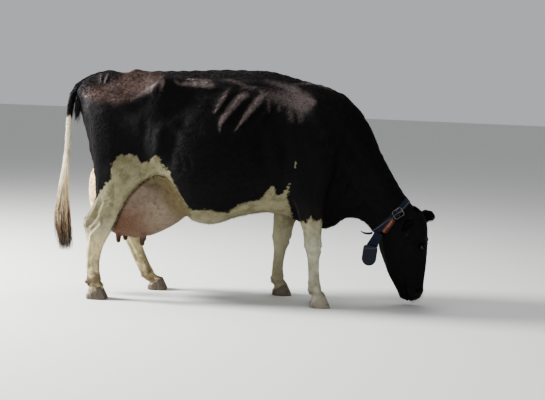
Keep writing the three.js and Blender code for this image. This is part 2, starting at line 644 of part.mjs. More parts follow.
addNode("trunk", trunk, BLACK_COAT);
addNode("neck", neck, BLACK_COAT);
const eyeless = Object.values(SIDES).reduce((solid, side) => solid.subtract(eyeball(side, 0.4)), headWhole);
addNode("head", eyeless, BLACK_COAT);
for (const [name, side] of Object.entries(SIDES)) {
  addNode(`eye_${name}`, eyeball(side), EYE_DARK);
  addNode(`ear_${name}`, ears[name].subtract(headGrown), BLACK_COAT);
}

for (const [name, leg] of Object.entries(legs)) {
  const places = { outer: leg.side, inner: -leg.side };
  const feet = Object.values(places).flatMap((place) => [claw(leg, place, gap), dewclaw(leg, place, gap)]);
  const solid = feet.reduce((rest, foot) => rest.subtract(foot), limb(leg).subtract(torsoGrown));
  addNode(`leg_${name}`, solid, WHITE_COAT);
  for (const [which, place] of Object.entries(places)) {
    addNode(`claw_${name}_${which}`, claw(leg, place), HORN);
    addNode(`dewclaw_${name}_${which}`, dewclaw(leg, place), HORN);
  }
}

const udder = legsGrown.reduce((rest, leg) => rest.subtract(leg), udderWhole().subtract(torsoGrown));
addNode("udder", udder, UDDER_SKIN);
const udderGrown = udderWhole(gap);
for (const [name, place] of Object.entries(teats)) {
  addNode(`teat_${name}`, teat(place).subtract(udderGrown), UDDER_SKIN);
}

const [lowerTail, dock] = splitAt(tail, TAIL_CUTS.dock, [0, 0, 1]);
const [tailSwitch, shaft] = splitAt(lowerTail, TAIL_CUTS.shaft, [0, 0, 1]);
const clearDock = dock.subtract(torsoGrown).subtract(torsoGrown.translate(-gap, 0, 0));
addNode("tail_dock", clearDock, BLACK_COAT);
addNode("tail_shaft", shaft, WHITE_COAT);
addNode("tail_switch", tailSwitch, WHITE_COAT);

const overStrap = gap + STRAP_THICKNESS + gap;
const strapSlab = collarBlock({ up: 0, ahead: 0, y: 0, long: 600, wide: STRAP_WIDTH, deep: 600 });
const sleeveBlock = collarBlock({ up: -58, ahead: 24, y: -150, long: 113, wide: 40, deep: 240, tilt: SLEEVE_TILT });
const aroundNeck = neckSkin(overStrap);
addNode("collar_strap", shell(gap, STRAP_THICKNESS).intersect(strapSlab), STRAP_WEB);
addNode("collar_sleeve", shell(overStrap, 5).intersect(sleeveBlock), SLEEVE_ORANGE);
addNode("collar_buckle", buckle().subtract(aroundNeck), STEEL);
addNode("tag_strap", tagStrap.subtract(aroundNeck).subtract(tag(gap)), STRAP_WEB);
addNode("tag", tag(), TAG_PLASTIC);
addNode("strap_loose_end", looseEnd.subtract(aroundNeck), STRAP_WEB);

// ---------------------------------------------------------------- set the cow on its origin

// The origin is the middle of the model's box, at floor level.
const box = new THREE.Box3().setFromObject(group);
const middle = box.getCenter(new THREE.Vector3());
for (const mesh of group.children) mesh.geometry.translate(-middle.x, -middle.y, 0);

export default group;
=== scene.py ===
# %% [markdown]
# A life-size dairy cow, standing with its head down to graze, as a museum model.
#
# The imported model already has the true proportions, in faceted solids. Here the body gets one
# seamless hide, the forms of bone and muscle under it, the short coat, the long hair of the tail,
# and the small things that make it an animal: lids, nostrils, claws and the collar it wears.

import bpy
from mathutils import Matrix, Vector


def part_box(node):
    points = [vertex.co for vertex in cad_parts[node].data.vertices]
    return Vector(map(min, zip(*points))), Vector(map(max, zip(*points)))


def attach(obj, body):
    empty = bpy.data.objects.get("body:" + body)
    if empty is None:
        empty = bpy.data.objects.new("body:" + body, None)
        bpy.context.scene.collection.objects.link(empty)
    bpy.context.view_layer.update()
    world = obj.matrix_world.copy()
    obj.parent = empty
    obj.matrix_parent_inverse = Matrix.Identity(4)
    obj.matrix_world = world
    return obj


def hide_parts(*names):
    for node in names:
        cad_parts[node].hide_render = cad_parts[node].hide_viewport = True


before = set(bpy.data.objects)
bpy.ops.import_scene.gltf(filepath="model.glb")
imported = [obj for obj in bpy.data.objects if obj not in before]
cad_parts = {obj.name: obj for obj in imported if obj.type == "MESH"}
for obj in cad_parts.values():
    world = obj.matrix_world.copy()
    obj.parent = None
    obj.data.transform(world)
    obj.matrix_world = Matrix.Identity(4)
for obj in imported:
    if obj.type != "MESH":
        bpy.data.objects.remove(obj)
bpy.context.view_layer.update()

# %% [markdown]
# ## Tools
# Blender keeps a mesh as long lists of corners and faces. NumPy can change such lists all at once,
# so the whole hide can be smoothed or pushed about in one go, where a loop in Python would crawl.

# %% Libraries and the directions of the cow
import math

import bmesh
import bpy
import numpy as np
from mathutils import Matrix, Vector
from mathutils.bvhtree import BVHTree

MM = 0.001
LEFT, RIGHT = 1, -1
BOTH = (RIGHT, LEFT)
chance = np.random.default_rng(7)
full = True

# Places on the body are given in metres: x towards the head, y to the cow's left, z up.


def unit(vectors):
    """Vectors of length one."""
    vectors = np.asarray(vectors, float)
    return vectors / np.maximum(np.linalg.norm(vectors, axis=-1, keepdims=True), 1e-12)


def fade(value, start, end):
    """0 before the start, 1 after the end, and a soft rise between them."""
    t = np.clip((np.asarray(value, float) - start) / (end - start), 0, 1)
    return t * t * (3 - 2 * t)


# %% Meshes from arrays and back
def mesh_from(name, points, faces):
    """A smooth mesh from points and faces that all have the same number of corners."""
    faces = np.asarray(faces, np.int32)
    mesh = bpy.data.meshes.new(name)
    mesh.vertices.add(len(points))
    mesh.vertices.foreach_set("co", np.asarray(points, np.float32).ravel())
    mesh.loops.add(faces.size)
    mesh.loops.foreach_set("vertex_index", faces.ravel())
    mesh.polygons.add(len(faces))
    mesh.polygons.foreach_set("loop_start", np.arange(len(faces), dtype=np.int32) * faces.shape[1])
    mesh.update(calc_edges=True)
    mesh.polygons.foreach_set("use_smooth", np.ones(len(faces), bool))
    return mesh


def points_of(mesh):
    points = np.empty(len(mesh.vertices) * 3, np.float32)
    mesh.vertices.foreach_get("co", points)
    return points.reshape(-1, 3).astype(float)


def edges_of(mesh):
    edges = np.empty(len(mesh.edges) * 2, np.int32)
    mesh.edges.foreach_get("vertices", edges)
    return edges.reshape(-1, 2)


def triangles_of(mesh):
    mesh.calc_loop_triangles()
    corners = np.empty(len(mesh.loop_triangles) * 3, np.int32)
    mesh.loop_triangles.foreach_get("vertices", corners)
    return corners.reshape(-1, 3)


def normals_of(mesh):
    normals = np.empty(len(mesh.vertices) * 3, np.float32)
    mesh.vertex_normals.foreach_get("vector", normals)
    return normals.reshape(-1, 3).astype(float)


def put_points(mesh, points):
    mesh.vertices.foreach_set("co", np.asarray(points, np.float32).ravel())
    mesh.update()


def put_values(mesh, name, values):
    """Keeps a number or a vector for each point, for the finishes to read."""
    kind, field = ("FLOAT", "value") if np.ndim(values) == 1 else ("FLOAT_VECTOR", "vector")
    layer = mesh.attributes.new(name, kind, "POINT")
    layer.data.foreach_set(field, np.asarray(values, np.float32).ravel())


def tree_of(mesh):
    return BVHTree.FromPolygons(points_of(mesh).tolist(), triangles_of(mesh).tolist())


def add_object(name, mesh):
    piece = bpy.data.objects.new(name, mesh)
    bpy.context.scene.collection.objects.link(piece)
    return piece


def applied(piece, kind, **settings):
    """The mesh of a piece after one modifier."""
    modifier = piece.modifiers.new(kind.title(), kind)
    for key, value in settings.items():
        setattr(modifier, key, value)
    graph = bpy.context.evaluated_depsgraph_get()
    result = bpy.data.meshes.new_from_object(piece.evaluated_get(graph))
    piece.modifiers.clear()
    old, piece.data = piece.data, result
    bpy.data.meshes.remove(old)
    result.name = piece.name
    return result


# %% Smoothing
def neighbour_mean(values, edges):
    """The mean of each point's neighbours, for values with one row for each point."""
    values = np.asarray(values, float)
    rows = values.reshape(len(values), -1)
    total = np.zeros_like(rows)
    for k in range(rows.shape[1]):
        total[:, k] += np.bincount(edges[:, 0], rows[edges[:, 1], k], len(rows))
        total[:, k] += np.bincount(edges[:, 1], rows[edges[:, 0], k], len(rows))
    count = np.bincount(edges.ravel(), minlength=len(rows))
    return (total / np.maximum(count, 1)[:, None]).reshape(values.shape)


def smoothed(points, edges, rounds, weight=1.0, keep_size=True):
    """Points after a number of rounds of smoothing. Each round that shrinks is followed by one
    that swells, so that legs and ears keep their thickness."""
    weight = np.broadcast_to(np.asarray(weight, float), len(points))[:, None]
    for _ in range(rounds):
        for step in (0.6, -0.62) if keep_size else (0.6,):
            points = points + step * weight * (neighbour_mean(points, edges) - points)
    return points


def spread(values, edges, rounds):
    """Values that run softly into each other over the surface."""
    for _ in range(rounds):
        values = 0.5 * values + 0.5 * neighbour_mean(values, edges)
    return values


# %% [markdown]
# ## Camera, floor and light
# The camera stands level with the cow's flank, a good six metres off, tipped a few degrees down
# and very slightly to one side. A long lens from far off keeps the proportions true.

# %% Camera
CAMERA_PLACE = Vector((0.162, -6.6, 1.26))
CAMERA_DOWN, CAMERA_ROLL = math.radians(5.24), math.radians(2.4)
LENS_MM, SENSOR_MM = 67.3, 36

camera_data = bpy.data.cameras.new("camera")
camera_data.lens, camera_data.sensor_width = LENS_MM, SENSOR_MM
camera = bpy.data.objects.new("camera", camera_data)
bpy.context.scene.collection.objects.link(camera)
pitch = Matrix.Rotation(math.radians(90) - CAMERA_DOWN, 4, "X")
camera.matrix_world = Matrix.Translation(CAMERA_PLACE) @ pitch @ Matrix.Rotation(CAMERA_ROLL, 4, "Z")
bpy.context.scene.camera = camera
print("camera at", [round(c, 2) for c in CAMERA_PLACE])

# %% [markdown]
# A dark coat is drawn by what it mirrors. One broad light high behind the rump rakes over the
# back and the ribs, a second from the camera's side opens the shade, and the pale room does the
# rest.

# %% Floor, lights and room
def area_light(name, place, aim, size, power):
    data = bpy.data.lights.new(name, "AREA")
    data.shape, data.size, data.energy = "DISK", size, power
    lamp = bpy.data.objects.new(name, data)
    lamp.location = place
    lamp.rotation_euler = (Vector(aim) - Vector(place)).to_track_quat("-Z", "Y").to_euler()
    bpy.context.scene.collection.objects.link(lamp)


area_light("rump_light", (-5.4, 0.05, 3.6), (-0.6, 0, 0.9), 1.5, 1150)
area_light("top_light", (0.6, 1.2, 5.6), (0.1, 0, 1.0), 2.5, 90)
area_light("camera_light", (1.0, -6.5, 3.0), (0, 0, 0.8), 4.0, 95)

ROOM_LIGHT = 0.47
world = bpy.data.worlds.new("room")
world.use_nodes = True
world.node_tree.nodes["Background"].inputs["Color"].default_value = (0.88, 0.9, 0.92, 1)
world.node_tree.nodes["Background"].inputs["Strength"].default_value = ROOM_LIGHT
bpy.context.scene.world = world
bpy.context.scene.view_settings.look = "AgX - Medium High Contrast"

FLOOR_RADIUS = 150
floor_mesh = bpy.data.meshes.new("floor")
disc = bmesh.new()
bmesh.ops.create_circle(disc, cap_ends=True, radius=FLOOR_RADIUS, segments=96)
disc.to_mesh(floor_mesh)
disc.free()
floor = add_object("floor", floor_mesh)


# %% [markdown]
# ## Finishes
# A finish is a small graph of nodes. This helper makes one node at a time and joins it up, so that
# a finish reads from top to bottom like a recipe.

# %% A helper for node graphs
class Finish:
    def __init__(self, name):
        self.material = bpy.data.materials.new(name)
        self.material.use_nodes = True
        self.tree = self.material.node_tree
        self.shader = self.tree.nodes["Principled BSDF"]

    def set(self, **settings):
        """Numbers and colours, or outputs of other nodes, for the shader."""
        for key, value in settings.items():
            self.feed(self.shader.inputs[key.replace("_", " ")], value)

    def feed(self, socket, value):
        if isinstance(value, bpy.types.NodeSocket):
            self.tree.links.new(value, socket)
        elif isinstance(value, (tuple, list)):
            socket.default_value = tuple(value) + (1,) * (len(socket.default_value) - len(value))
        else:
            socket.default_value = value

    def node(self, kind, inputs=(), **settings):
        node = self.tree.nodes.new(kind)
        for key, value in settings.items():
            setattr(node, key, value)
        for key, value in dict(inputs).items():
            self.feed(node.inputs[key], value)
        return node

    def value(self, name):
        return self.node("ShaderNodeAttribute", attribute_name=name).outputs["Fac"]

    def place(self, name=None):
        if name:
            return self.node("ShaderNodeAttribute", attribute_name=name).outputs["Vector"]
        return self.node("ShaderNodeTexCoord").outputs["Object"]

    def xyz(self, where):
        return self.node("ShaderNodeSeparateXYZ", {0: where}).outputs

    def turned(self, where, degrees=(0, 0, 0), stretch=(1, 1, 1)):
        """A place that is first turned and then stretched, so that noise can streak any way."""
        angles = tuple(math.radians(d) for d in degrees)
        turned = self.node("ShaderNodeMapping", {"Vector": where, "Rotation": angles}).outputs[0]
        return self.node("ShaderNodeMapping", {"Vector": turned, "Scale": stretch}).outputs[0]

    def noise(self, where, scale, detail=3.0, rough=0.55, distortion=0.0):
        inputs = {"Vector": where, "Scale": scale, "Detail": detail, "Roughness": rough}
        inputs["Distortion"] = distortion
        return self.node("ShaderNodeTexNoise", inputs).outputs["Fac"]

    def cells(self, where, scale):
        return self.node("ShaderNodeTexVoronoi", {"Vector": where, "Scale": scale}).outputs["Distance"]

    def wave(self, where, scale, distortion=0.0, direction="X"):
        inputs = {"Vector": where, "Scale": scale, "Distortion": distortion}
        return self.node("ShaderNodeTexWave", inputs, bands_direction=direction).outputs["Fac"]

    def maths(self, how, a, b=0.0):
        return self.node("ShaderNodeMath", {0: a, 1: b}, operation=how).outputs[0]

    def times(self, *factors):
        total = factors[0]
        for factor in factors[1:]:
            total = self.maths("MULTIPLY", total, factor)
        return total

    def swing(self, value, size):
        """A noise value moved so that it swings about 0 by a size."""
        return self.maths("MULTIPLY", self.maths("SUBTRACT", value, 0.5), size)

    def spanned(self, value, low, high, to_low=0.0, to_high=1.0):
        names = {"Value": value, "From Min": low, "From Max": high, "To Min": to_low, "To Max": to_high}
        return self.node("ShaderNodeMapRange", names, interpolation_type="SMOOTHSTEP").outputs[0]

    def between(self, share, first, second):
        return self.node("ShaderNodeMix", {0: share, 2: first, 3: second}).outputs[0]

    def blend(self, share, first, second, how="MIX"):
        node = self.node("ShaderNodeMix", data_type="RGBA", blend_type=how)
        for socket, value in zip((node.inputs[0], node.inputs[6], node.inputs[7]), (share, first, second)):
            self.feed(socket, value)
        return node.outputs[2]

    def bump(self, height, depth, strength=1.0, under=None):
        inputs = {"Height": height, "Distance": depth, "Strength": strength}
        if under is not None:
            inputs["Normal"] = under
        return self.node("ShaderNodeBump", inputs).outputs[0]


def finished(piece, finish, slot, *nodes):
    """Gives a piece its finish, puts it under the root and hides the solids that it stands for. The slot is
    not used.
    """
    piece.data.materials.clear()
    piece.data.materials.append(finish.material)
    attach(piece, "root")
    if nodes:
        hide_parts(*nodes)


floor_finish = Finish("studio_floor")
floor_finish.set(Base_Color=(0.66, 0.66, 0.64), Roughness=0.9)
floor.data.materials.append(floor_finish.material)

# %% [markdown]
# ## The hide
# A cow's body is one skin over bone, muscle and a great barrel of rumen. The solids of trunk, neck,
# head, legs, udder and tail are joined and wrapped with a voxel remesh, which gives one closed
# surface of small even faces. Smoothing takes the facets away, and the forms are modelled after.

# %% Gather the solids of flesh
FEET = [f"{end}_{side}" for end in ("fore", "hind") for side in ("left", "right")]
FLESH = ["trunk", "neck", "head", "ear_left", "ear_right", "udder", "tail_dock", "tail_shaft"]
FLESH += [f"leg_{foot}" for foot in FEET]
FLESH += [f"teat_{place}" for place in ("front_left", "front_right", "rear_left", "rear_right")]
CLAWS = [f"claw_{foot}_{place}" for foot in FEET for place in ("outer", "inner")]
EYES = ["eye_left", "eye_right"]


def solid_arrays(name):
    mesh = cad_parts[name].data
    return points_of(mesh), triangles_of(mesh)


def drawn_in(name, share):
    """A solid drawn in towards its own upright middle line."""
    points, faces = solid_arrays(name)
    order = np.argsort(points[:, 2])
    window = np.ones(20) / 20
    heights = np.convolve(points[order, 2], window, "valid")
    for k in (0, 1):
        middle = np.convolve(points[order, k], window, "valid")
        line = np.interp(points[:, 2], heights, middle)
        points[:, k] = line + share * (points[:, k] - line)
    return points, faces


def joined(pieces):
    """One list of points and one of faces, from those of several pieces."""
    starts = np.cumsum([0] + [len(points) for points, _ in pieces])
    points = np.concatenate([points for points, _ in pieces])
    return points, np.concatenate([faces + start for (_, faces), start in zip(pieces, starts)])


TAIL_CORE_END = 0.50
core_points, core_faces = drawn_in("tail_switch", 0.36)
core_points[:, 2] = np.maximum(core_points[:, 2], TAIL_CORE_END)
solids = [solid_arrays(name) for name in FLESH + EYES]
solids += [drawn_in(name, 0.85) for name in CLAWS] + [(core_points, core_faces)]
part_names = FLESH + EYES + CLAWS + ["tail_core"]
all_points, all_faces = joined(solids)
labels = np.concatenate([np.full(len(faces), i) for i, (_, faces) in enumerate(solids)])
solid_tree = BVHTree.FromPolygons(all_points.tolist(), all_faces.tolist())
print("joined", len(solids), "solids with", len(all_faces), "faces")


# %% Know which solid a point lies on
def parts_at(points):
    """The number of the solid nearest to each point."""
    return labels[np.array([solid_tree.find_nearest(p)[2] for p in points.tolist()])]


def among(part, *starts_of_names):
    """1 for the points whose solid's name starts so, and 0 for the others."""
    chosen = [i for i, name in enumerate(part_names) if name.startswith(starts_of_names)]
    return np.isin(part, chosen).astype(float)


# %% [markdown]
# The facets of the barrel are a hand wide, and it takes long smoothing to lose them. That is quick
# on a coarse wrapping of the body, so a coarse one is smoothed first. The fine one, which keeps the
# ears, the face and the feet, is then laid on it wherever the body is broad.

# %% Wrap the body in a coarse surface
COARSE_VOXEL = 17 * MM
VOXEL = 6 * MM if full else 9 * MM


def wrapped(name, voxel):
    piece = add_object(name, mesh_from(name, all_points, all_faces))
    mesh = applied(piece, "REMESH", mode="VOXEL", voxel_size=voxel)
    points = points_of(mesh)
    return piece, mesh, points, edges_of(mesh), parts_at(points)


coarse, coarse_mesh, points, edges, part = wrapped("coarse_wrap", COARSE_VOXEL)
broad = among(part, "trunk", "neck") + among(part, "leg") * fade(points[:, 2], 0.62, 0.74)
broad += among(part, "udder") * 0.6
broad = spread(broad, edges, 2)
joint = spread(among(part, "leg") * (points[:, 2] > 0.68), edges, 3)
joint = np.clip(5 * joint * (1 - joint), 0, 1)
joint = np.clip(2 * spread(joint, edges, 4), 0, 1)
points = smoothed(points, edges, 16, joint, keep_size=False)
points = smoothed(points, edges, 34, broad)
points = smoothed(points, edges, 4, np.clip(broad, 0.2, 1))
put_points(coarse_mesh, points)
coarse_tree = tree_of(coarse_mesh)
bpy.data.objects.remove(coarse)
print("coarse wrap of", len(points), "points")

# %% Lay the fine wrap on the coarse one
hide, mesh, points, edges, part = wrapped("hide", VOXEL)
own_form = among(part, "head", "ear", "eye", "claw", "teat", "tail")
own_form += among(part, "leg") * (1 - fade(points[:, 2], 0.66, 0.80))
own_form = spread(own_form, edges, 10)
points = smoothed(points, edges, 6)
landed = np.array([coarse_tree.find_nearest(p)[0] for p in points.tolist()])
points = points + (1 - own_form)[:, None] * (landed - points)
points = smoothed(points, edges, 10, 1 - 0.55 * own_form)
put_points(mesh, points)
print("fine wrap of", len(points), "points")

# %% [markdown]
# Eyes and muzzle need more points than the barrel. Their faces are cut into four, and round the
# eyes once more, so that a lid has enough points to be folded from.

# %% More points on the face
HEAD_PIVOT = np.array([1.012, 0, 0.6])
HEAD_TURN = math.radians(-13)


def on_head(x, y, z):
    """A place on the head before it is turned, carried along with the turn."""
    cos, sin = math.cos(HEAD_TURN), math.sin(HEAD_TURN)
    dx, dy = x - HEAD_PIVOT[0], y - HEAD_PIVOT[1]
    return np.array([HEAD_PIVOT[0] + cos * dx - sin * dy, HEAD_PIVOT[1] + sin * dx + cos * dy, z])


def middle_of(name):
    low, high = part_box(name)
    return np.array((low + high) / 2)


eye_middles = {RIGHT: middle_of("eye_right"), LEFT: middle_of("eye_left")}
MUZZLE = on_head(1.12, 0, 0.085)
finer = [(eye_middles[side], 0.052) for side in BOTH] + [(MUZZLE, 0.125)]
finer += [(eye_middles[side], 0.038) for side in BOTH]
shape = bmesh.new()
shape.from_mesh(mesh)
for middle, reach in finer if full else ():
    near = {v for v in shape.verts if (v.co - Vector(middle)).length < reach}
    chosen = [e for e in shape.edges if e.verts[0] in near and e.verts[1] in near]
    bmesh.ops.subdivide_edges(shape, edges=chosen, cuts=1, use_grid_fill=True)
bmesh.ops.triangulate(shape, faces=shape.faces[:])
shape.to_mesh(mesh)
shape.free()
points, edges = points_of(mesh), edges_of(mesh)
part = parts_at(points)
on_face = spread(among(part, "head", "eye"), edges, 2)
put_points(mesh, smoothed(points, edges, 3, on_face))
print("hide of", len(points), "points")


# %% [markdown]
# ## Forms under the skin
# A modeller in clay adds a roll for a rib, draws a groove beside a tendon and presses a hollow with
# the thumb. The same three moves are enough here. A stroke is a ridge or a groove along a line, a
# dab is a round swelling or hollow, and lines are laid on the hide by looking at it from the side.

# %% Clay: strokes and dabs
def curve_through(corners, step=6 * MM):
    """Points a step apart on a smooth curve through the corners."""
    corners = np.asarray(corners, float)
    ends = np.vstack([2 * corners[0] - corners[1], corners, 2 * corners[-1] - corners[-2]])
    out = []
    for a, b, c, d in zip(ends, ends[1:], ends[2:], ends[3:]):
        count = max(2, int(np.linalg.norm(c - b) / step))
        t = (np.arange(count) / count)[:, None]
        out.append(0.5 * (2 * b + (c - a) * t + (2 * a - 5 * b + 4 * c - d) * t**2
                          + (3 * b - a - 3 * c + d) * t**3))
    return np.vstack(out + [corners[-1:]])


class Clay:
    def __init__(self, mesh):
        self.mesh = mesh
        self.refresh()

    def refresh(self):
        self.points, self.normals = points_of(self.mesh), normals_of(self.mesh)
        self.tree = tree_of(self.mesh)
        self.moves = np.zeros(len(self.points))

    def press(self):
        """Carries out all the strokes and dabs so far."""
        put_points(self.mesh, self.points + self.moves[:, None] * self.normals)
        self.refresh()

    def nearest(self, place):
        spot, normal, _, _ = self.tree.find_nearest(Vector(place))
        return np.array(spot), np.array(normal)

    def seen(self, x, z, side):
        """The place that is seen at x and z from the cow's left or right."""
        spot = self.tree.ray_cast(Vector((x, side * 1.5, z)), Vector((0, -side, 0)))[0]
        return np.array(spot if spot is not None else self.nearest((x, side * 0.2, z))[0])

    def laid(self, flat_line, side):
        return [self.seen(x, z, side) for x, z in flat_line]

    def stroke(self, corners, width, height, ends=0.3, sharp=2.0, shift=(0, 0, 0)):
        """A ridge or a groove along a line, its width and height in millimetres."""
        width, height = width * MM, height * MM
        corners = np.asarray(corners, float) + np.asarray(shift, float)
        found = [self.nearest(p) for p in curve_through(corners)]
        spots = np.array([spot for spot, _ in found])
        facing = unit(np.array([normal for _, normal in found]))
        reach = 2.6 * width
        inside = np.all((self.points > spots.min(0) - reach) & (self.points < spots.max(0) + reach), axis=1)
        chosen = np.flatnonzero(inside)
        share = np.linspace(0, 1, len(spots))
        taper = fade(share, 0, ends) * fade(1 - share, 0, ends) if ends else np.ones(len(spots))
        for block in np.array_split(chosen, max(1, len(chosen) * len(spots) // 4_000_000)):
            apart = np.linalg.norm(self.points[block, None] - spots[None], axis=2)
            at = apart.argmin(1)
            apart = apart[np.arange(len(block)), at]
            same_side = fade(np.sum(self.normals[block] * facing[at], axis=1), 0.0, 0.5)
            self.moves[block] += height * taper[at] * same_side * np.exp(-(apart / width) ** sharp)

    def lay(self, side, flat_line, width, height, ends=0.3):
        """A stroke along a line of x and z, as seen from one side."""
        self.stroke(self.laid(flat_line, side), width, height, ends)

    def dab(self, place, radii, height):
        """A round swelling or hollow, its radii and height in millimetres."""
        spot, facing = self.nearest(place)
        apart = np.linalg.norm((self.points - spot) / (np.asarray(radii, float) * MM), axis=1)
        chosen = np.flatnonzero(apart < 2.6)
        same_side = fade(self.normals[chosen] @ unit(facing), 0.0, 0.5)
        self.moves[chosen] += height * MM * same_side * np.exp(-(apart[chosen] ** 2))


def moved(flat_line, dx, dz=0.0):
    return [(x + dx, z + dz) for x, z in flat_line]


clay = Clay(mesh)

# %% [markdown]
# ### Trunk
# In a milking cow there is little fat over the bone. The last ribs show as slanting rolls behind
# the shoulder, the short ribs of the loin make a shelf over the hollow flank, and the rump hangs
# like cloth between the hook, the thigh joint and the pin bone.

# %% Ribs and loin
RIBS = [
    [(-0.130, 1.370), (-0.162, 1.306), (-0.191, 1.257), (-0.222, 1.190)],
    [(-0.025, 1.330), (-0.072, 1.290), (-0.111, 1.250), (-0.150, 1.195), (-0.180, 1.105)],
    [(0.081, 1.339), (0.046, 1.288), (0.006, 1.239), (-0.033, 1.179), (-0.087, 1.090)],
    [(0.132, 1.325), (0.100, 1.235), (0.050, 1.140)],
]
LOIN_SHELF = [(-0.500, 1.392), (-0.430, 1.384), (-0.368, 1.376), (-0.256, 1.364), (-0.160, 1.362)]
for side in BOTH:
    for rib in RIBS:
        clay.lay(side, rib, 24, 12)
        clay.lay(side, moved(rib, 0.046, -0.014), 20, -13)
    for k in (1.9, 2.9):
        clay.lay(side, moved(RIBS[1], -0.105 * k, -0.02 * k), 30, 4, 0.35)
    clay.lay(side, LOIN_SHELF, 24, 8, 0.35)
    clay.lay(side, moved(LOIN_SHELF, 0, -0.050), 40, -6, 0.5)
    for x in (-0.46, -0.40, -0.34, -0.28, -0.22):
        clay.dab((x, side * 0.215, 1.385), (16, 20, 20), 4)
    clay.dab((-0.430, side * 0.31, 1.255), (100, 100, 85), -14)

# %% Hook, thigh joint, pin bone and tail head
RUMP_EDGE = [(-0.547, 1.407), (-0.584, 1.349), (-0.652, 1.297), (-0.718, 1.261), (-0.772, 1.237),
             (-0.841, 1.234), (-0.915, 1.245), (-0.982, 1.267), (-1.045, 1.290)]
for side in BOTH:
    edge = clay.laid(RUMP_EDGE, side)
    clay.stroke(edge, 32, 9, 0.2)
    clay.stroke(edge[:5], 14, -4, 0.5, shift=(0, 0, 0.026))
    clay.stroke(edge[1:8], 46, -5, 0.3, shift=(0, 0, -0.075))
    clay.dab((-0.560, side * 0.235, 1.398), (34, 30, 30), 12)
    clay.dab((-0.735, side * 0.165, 1.375), (85, 75, 60), -11)
    clay.dab((-0.905, side * 0.150, 1.345), (75, 60, 60), -12)
    clay.dab((-0.800, side * 0.235, 1.262), (48, 30, 36), 9)
    clay.dab((-1.075, side * 0.085, 1.300), (30, 30, 34), 11)
    for fold in ([(-0.962, 0.062, 1.417), (-0.957, 0.132, 1.359)],
                 [(-0.917, 0.078, 1.418), (-0.928, 0.139, 1.360)]):
        corners = [(x, side * y, z) for x, y, z in fold]
        clay.stroke(corners, 15, 5, 0.45)
        clay.stroke(corners, 12, -4, 0.45, shift=(0.022, 0, 0))
for x, lift in ((-0.60, 4), (-0.52, 4), (-0.44, 3), (-0.36, 4), (-0.26, 3), (-0.16, 4), (-0.06, 4)):
    clay.dab((x, 0, 1.47), (24, 22, 30), lift)
clay.dab((-0.855, 0, 1.455), (40, 34, 40), -8)

# %% Thigh, flank and belly
for side in BOTH:
    hamstring = [(-1.020, 1.215), (-1.010, 1.080), (-0.985, 0.930), (-0.965, 0.800)]
    clay.lay(side, hamstring, 24, -9)
    clay.lay(side, moved(hamstring, 0.060), 40, 6)
    quadriceps = [(-0.640, 1.210), (-0.650, 1.060), (-0.680, 0.925), (-0.703, 0.857), (-0.760, 0.770)]
    clay.lay(side, quadriceps, 30, -9)
    flank_fold = [(-0.520, 1.160), (-0.555, 1.020), (-0.575, 0.930), (-0.620, 0.870)]
    clay.lay(side, flank_fold, 36, 12)
    clay.lay(side, moved(flank_fold, 0.085, -0.02), 44, -12)
    for k, dx in enumerate((0.0, 0.07, 0.13)):
        wrinkle = [(-0.50 + dx, 0.985 - 0.02 * k), (-0.47 + dx, 0.90 - 0.02 * k), (-0.48 + dx, 0.83)]
        clay.lay(side, wrinkle, 10, -3, 0.35)
    milk_vein = [(-0.386, 0.603), (-0.340, 0.578), (-0.272, 0.557), (-0.194, 0.553), (-0.116, 0.572),
                 (-0.050, 0.597), (0.029, 0.623), (0.096, 0.637)]
    vein = [p + np.array([0, 0.004 * math.sin(5 * i), 0]) for i, p in enumerate(clay.laid(milk_vein, side))]
    clay.stroke(vein, 15, 9, 0.12)
    clay.stroke(vein, 20, -5, 0.12, shift=(0, 0, 0.040))
clay.stroke([(-0.30, 0, 0.48), (-0.22, 0, 0.50), (-0.10, 0, 0.53)], 16, 7, 0.35)  # navel
clay.stroke([(0.30, 0, 0.60), (0.40, 0, 0.53), (0.52, 0, 0.52), (0.60, 0, 0.56)], 24, 9)  # brisket

# %% Shoulder and neck
for side in BOTH:
    blade = [(0.190, 1.395), (0.235, 1.290), (0.290, 1.170), (0.350, 1.060)]
    clay.lay(side, blade, 34, 5, 0.4)
    clay.lay(side, moved(blade, 0.070), 42, -3, 0.4)
    behind = [(0.105, 1.270), (0.090, 1.160), (0.100, 1.050), (0.130, 0.900), (0.190, 0.800)]
    clay.lay(side, behind, 42, -8, 0.45)
    clay.lay(side, moved(behind, 0.085), 48, 5, 0.45)
    clay.dab(clay.seen(0.475, 0.950, side), (60, 50, 55), 13)
    clay.dab(clay.seen(0.275, 0.830, side), (40, 40, 44), 9)
    clay.lay(side, [(0.455, 0.870), (0.420, 0.760), (0.415, 0.660)], 20, -7)
    jugular = [(0.900, 0.560), (0.820, 0.650), (0.720, 0.740), (0.640, 0.850), (0.560, 0.960)]
    clay.lay(side, jugular, 24, -7, 0.25)
    crest = [(0.905, 0.655), (0.795, 0.815), (0.665, 1.015), (0.525, 1.195), (0.365, 1.315)]
    clay.lay(side, crest, 30, -5, 0.2)
    for k in range(4):
        x, z = 0.760 - 0.055 * k, 0.640 + 0.055 * k
        fold = [(x - 0.045, z - 0.055), (x, z), (x + 0.030, z + 0.062)]
        clay.lay(side, fold, 9, -4, 0.4)
        clay.lay(side, moved(fold, -0.018, 0.012), 11, 3, 0.4)
    clay.lay(side, [(0.50, 1.20), (0.44, 1.10), (0.43, 0.99)], 14, -4, 0.4)
    clay.lay(side, [(0.56, 1.12), (0.51, 1.03), (0.50, 0.93)], 14, -4, 0.4)
clay.press()
print("trunk and neck modelled")

# %% [markdown]
# ### Udder
# The udder hangs from the belly by a middle band, which draws a cleft between its left and right
# halves. The thigh lies over its upper edge in a sharp fold, and thick veins wander over it.

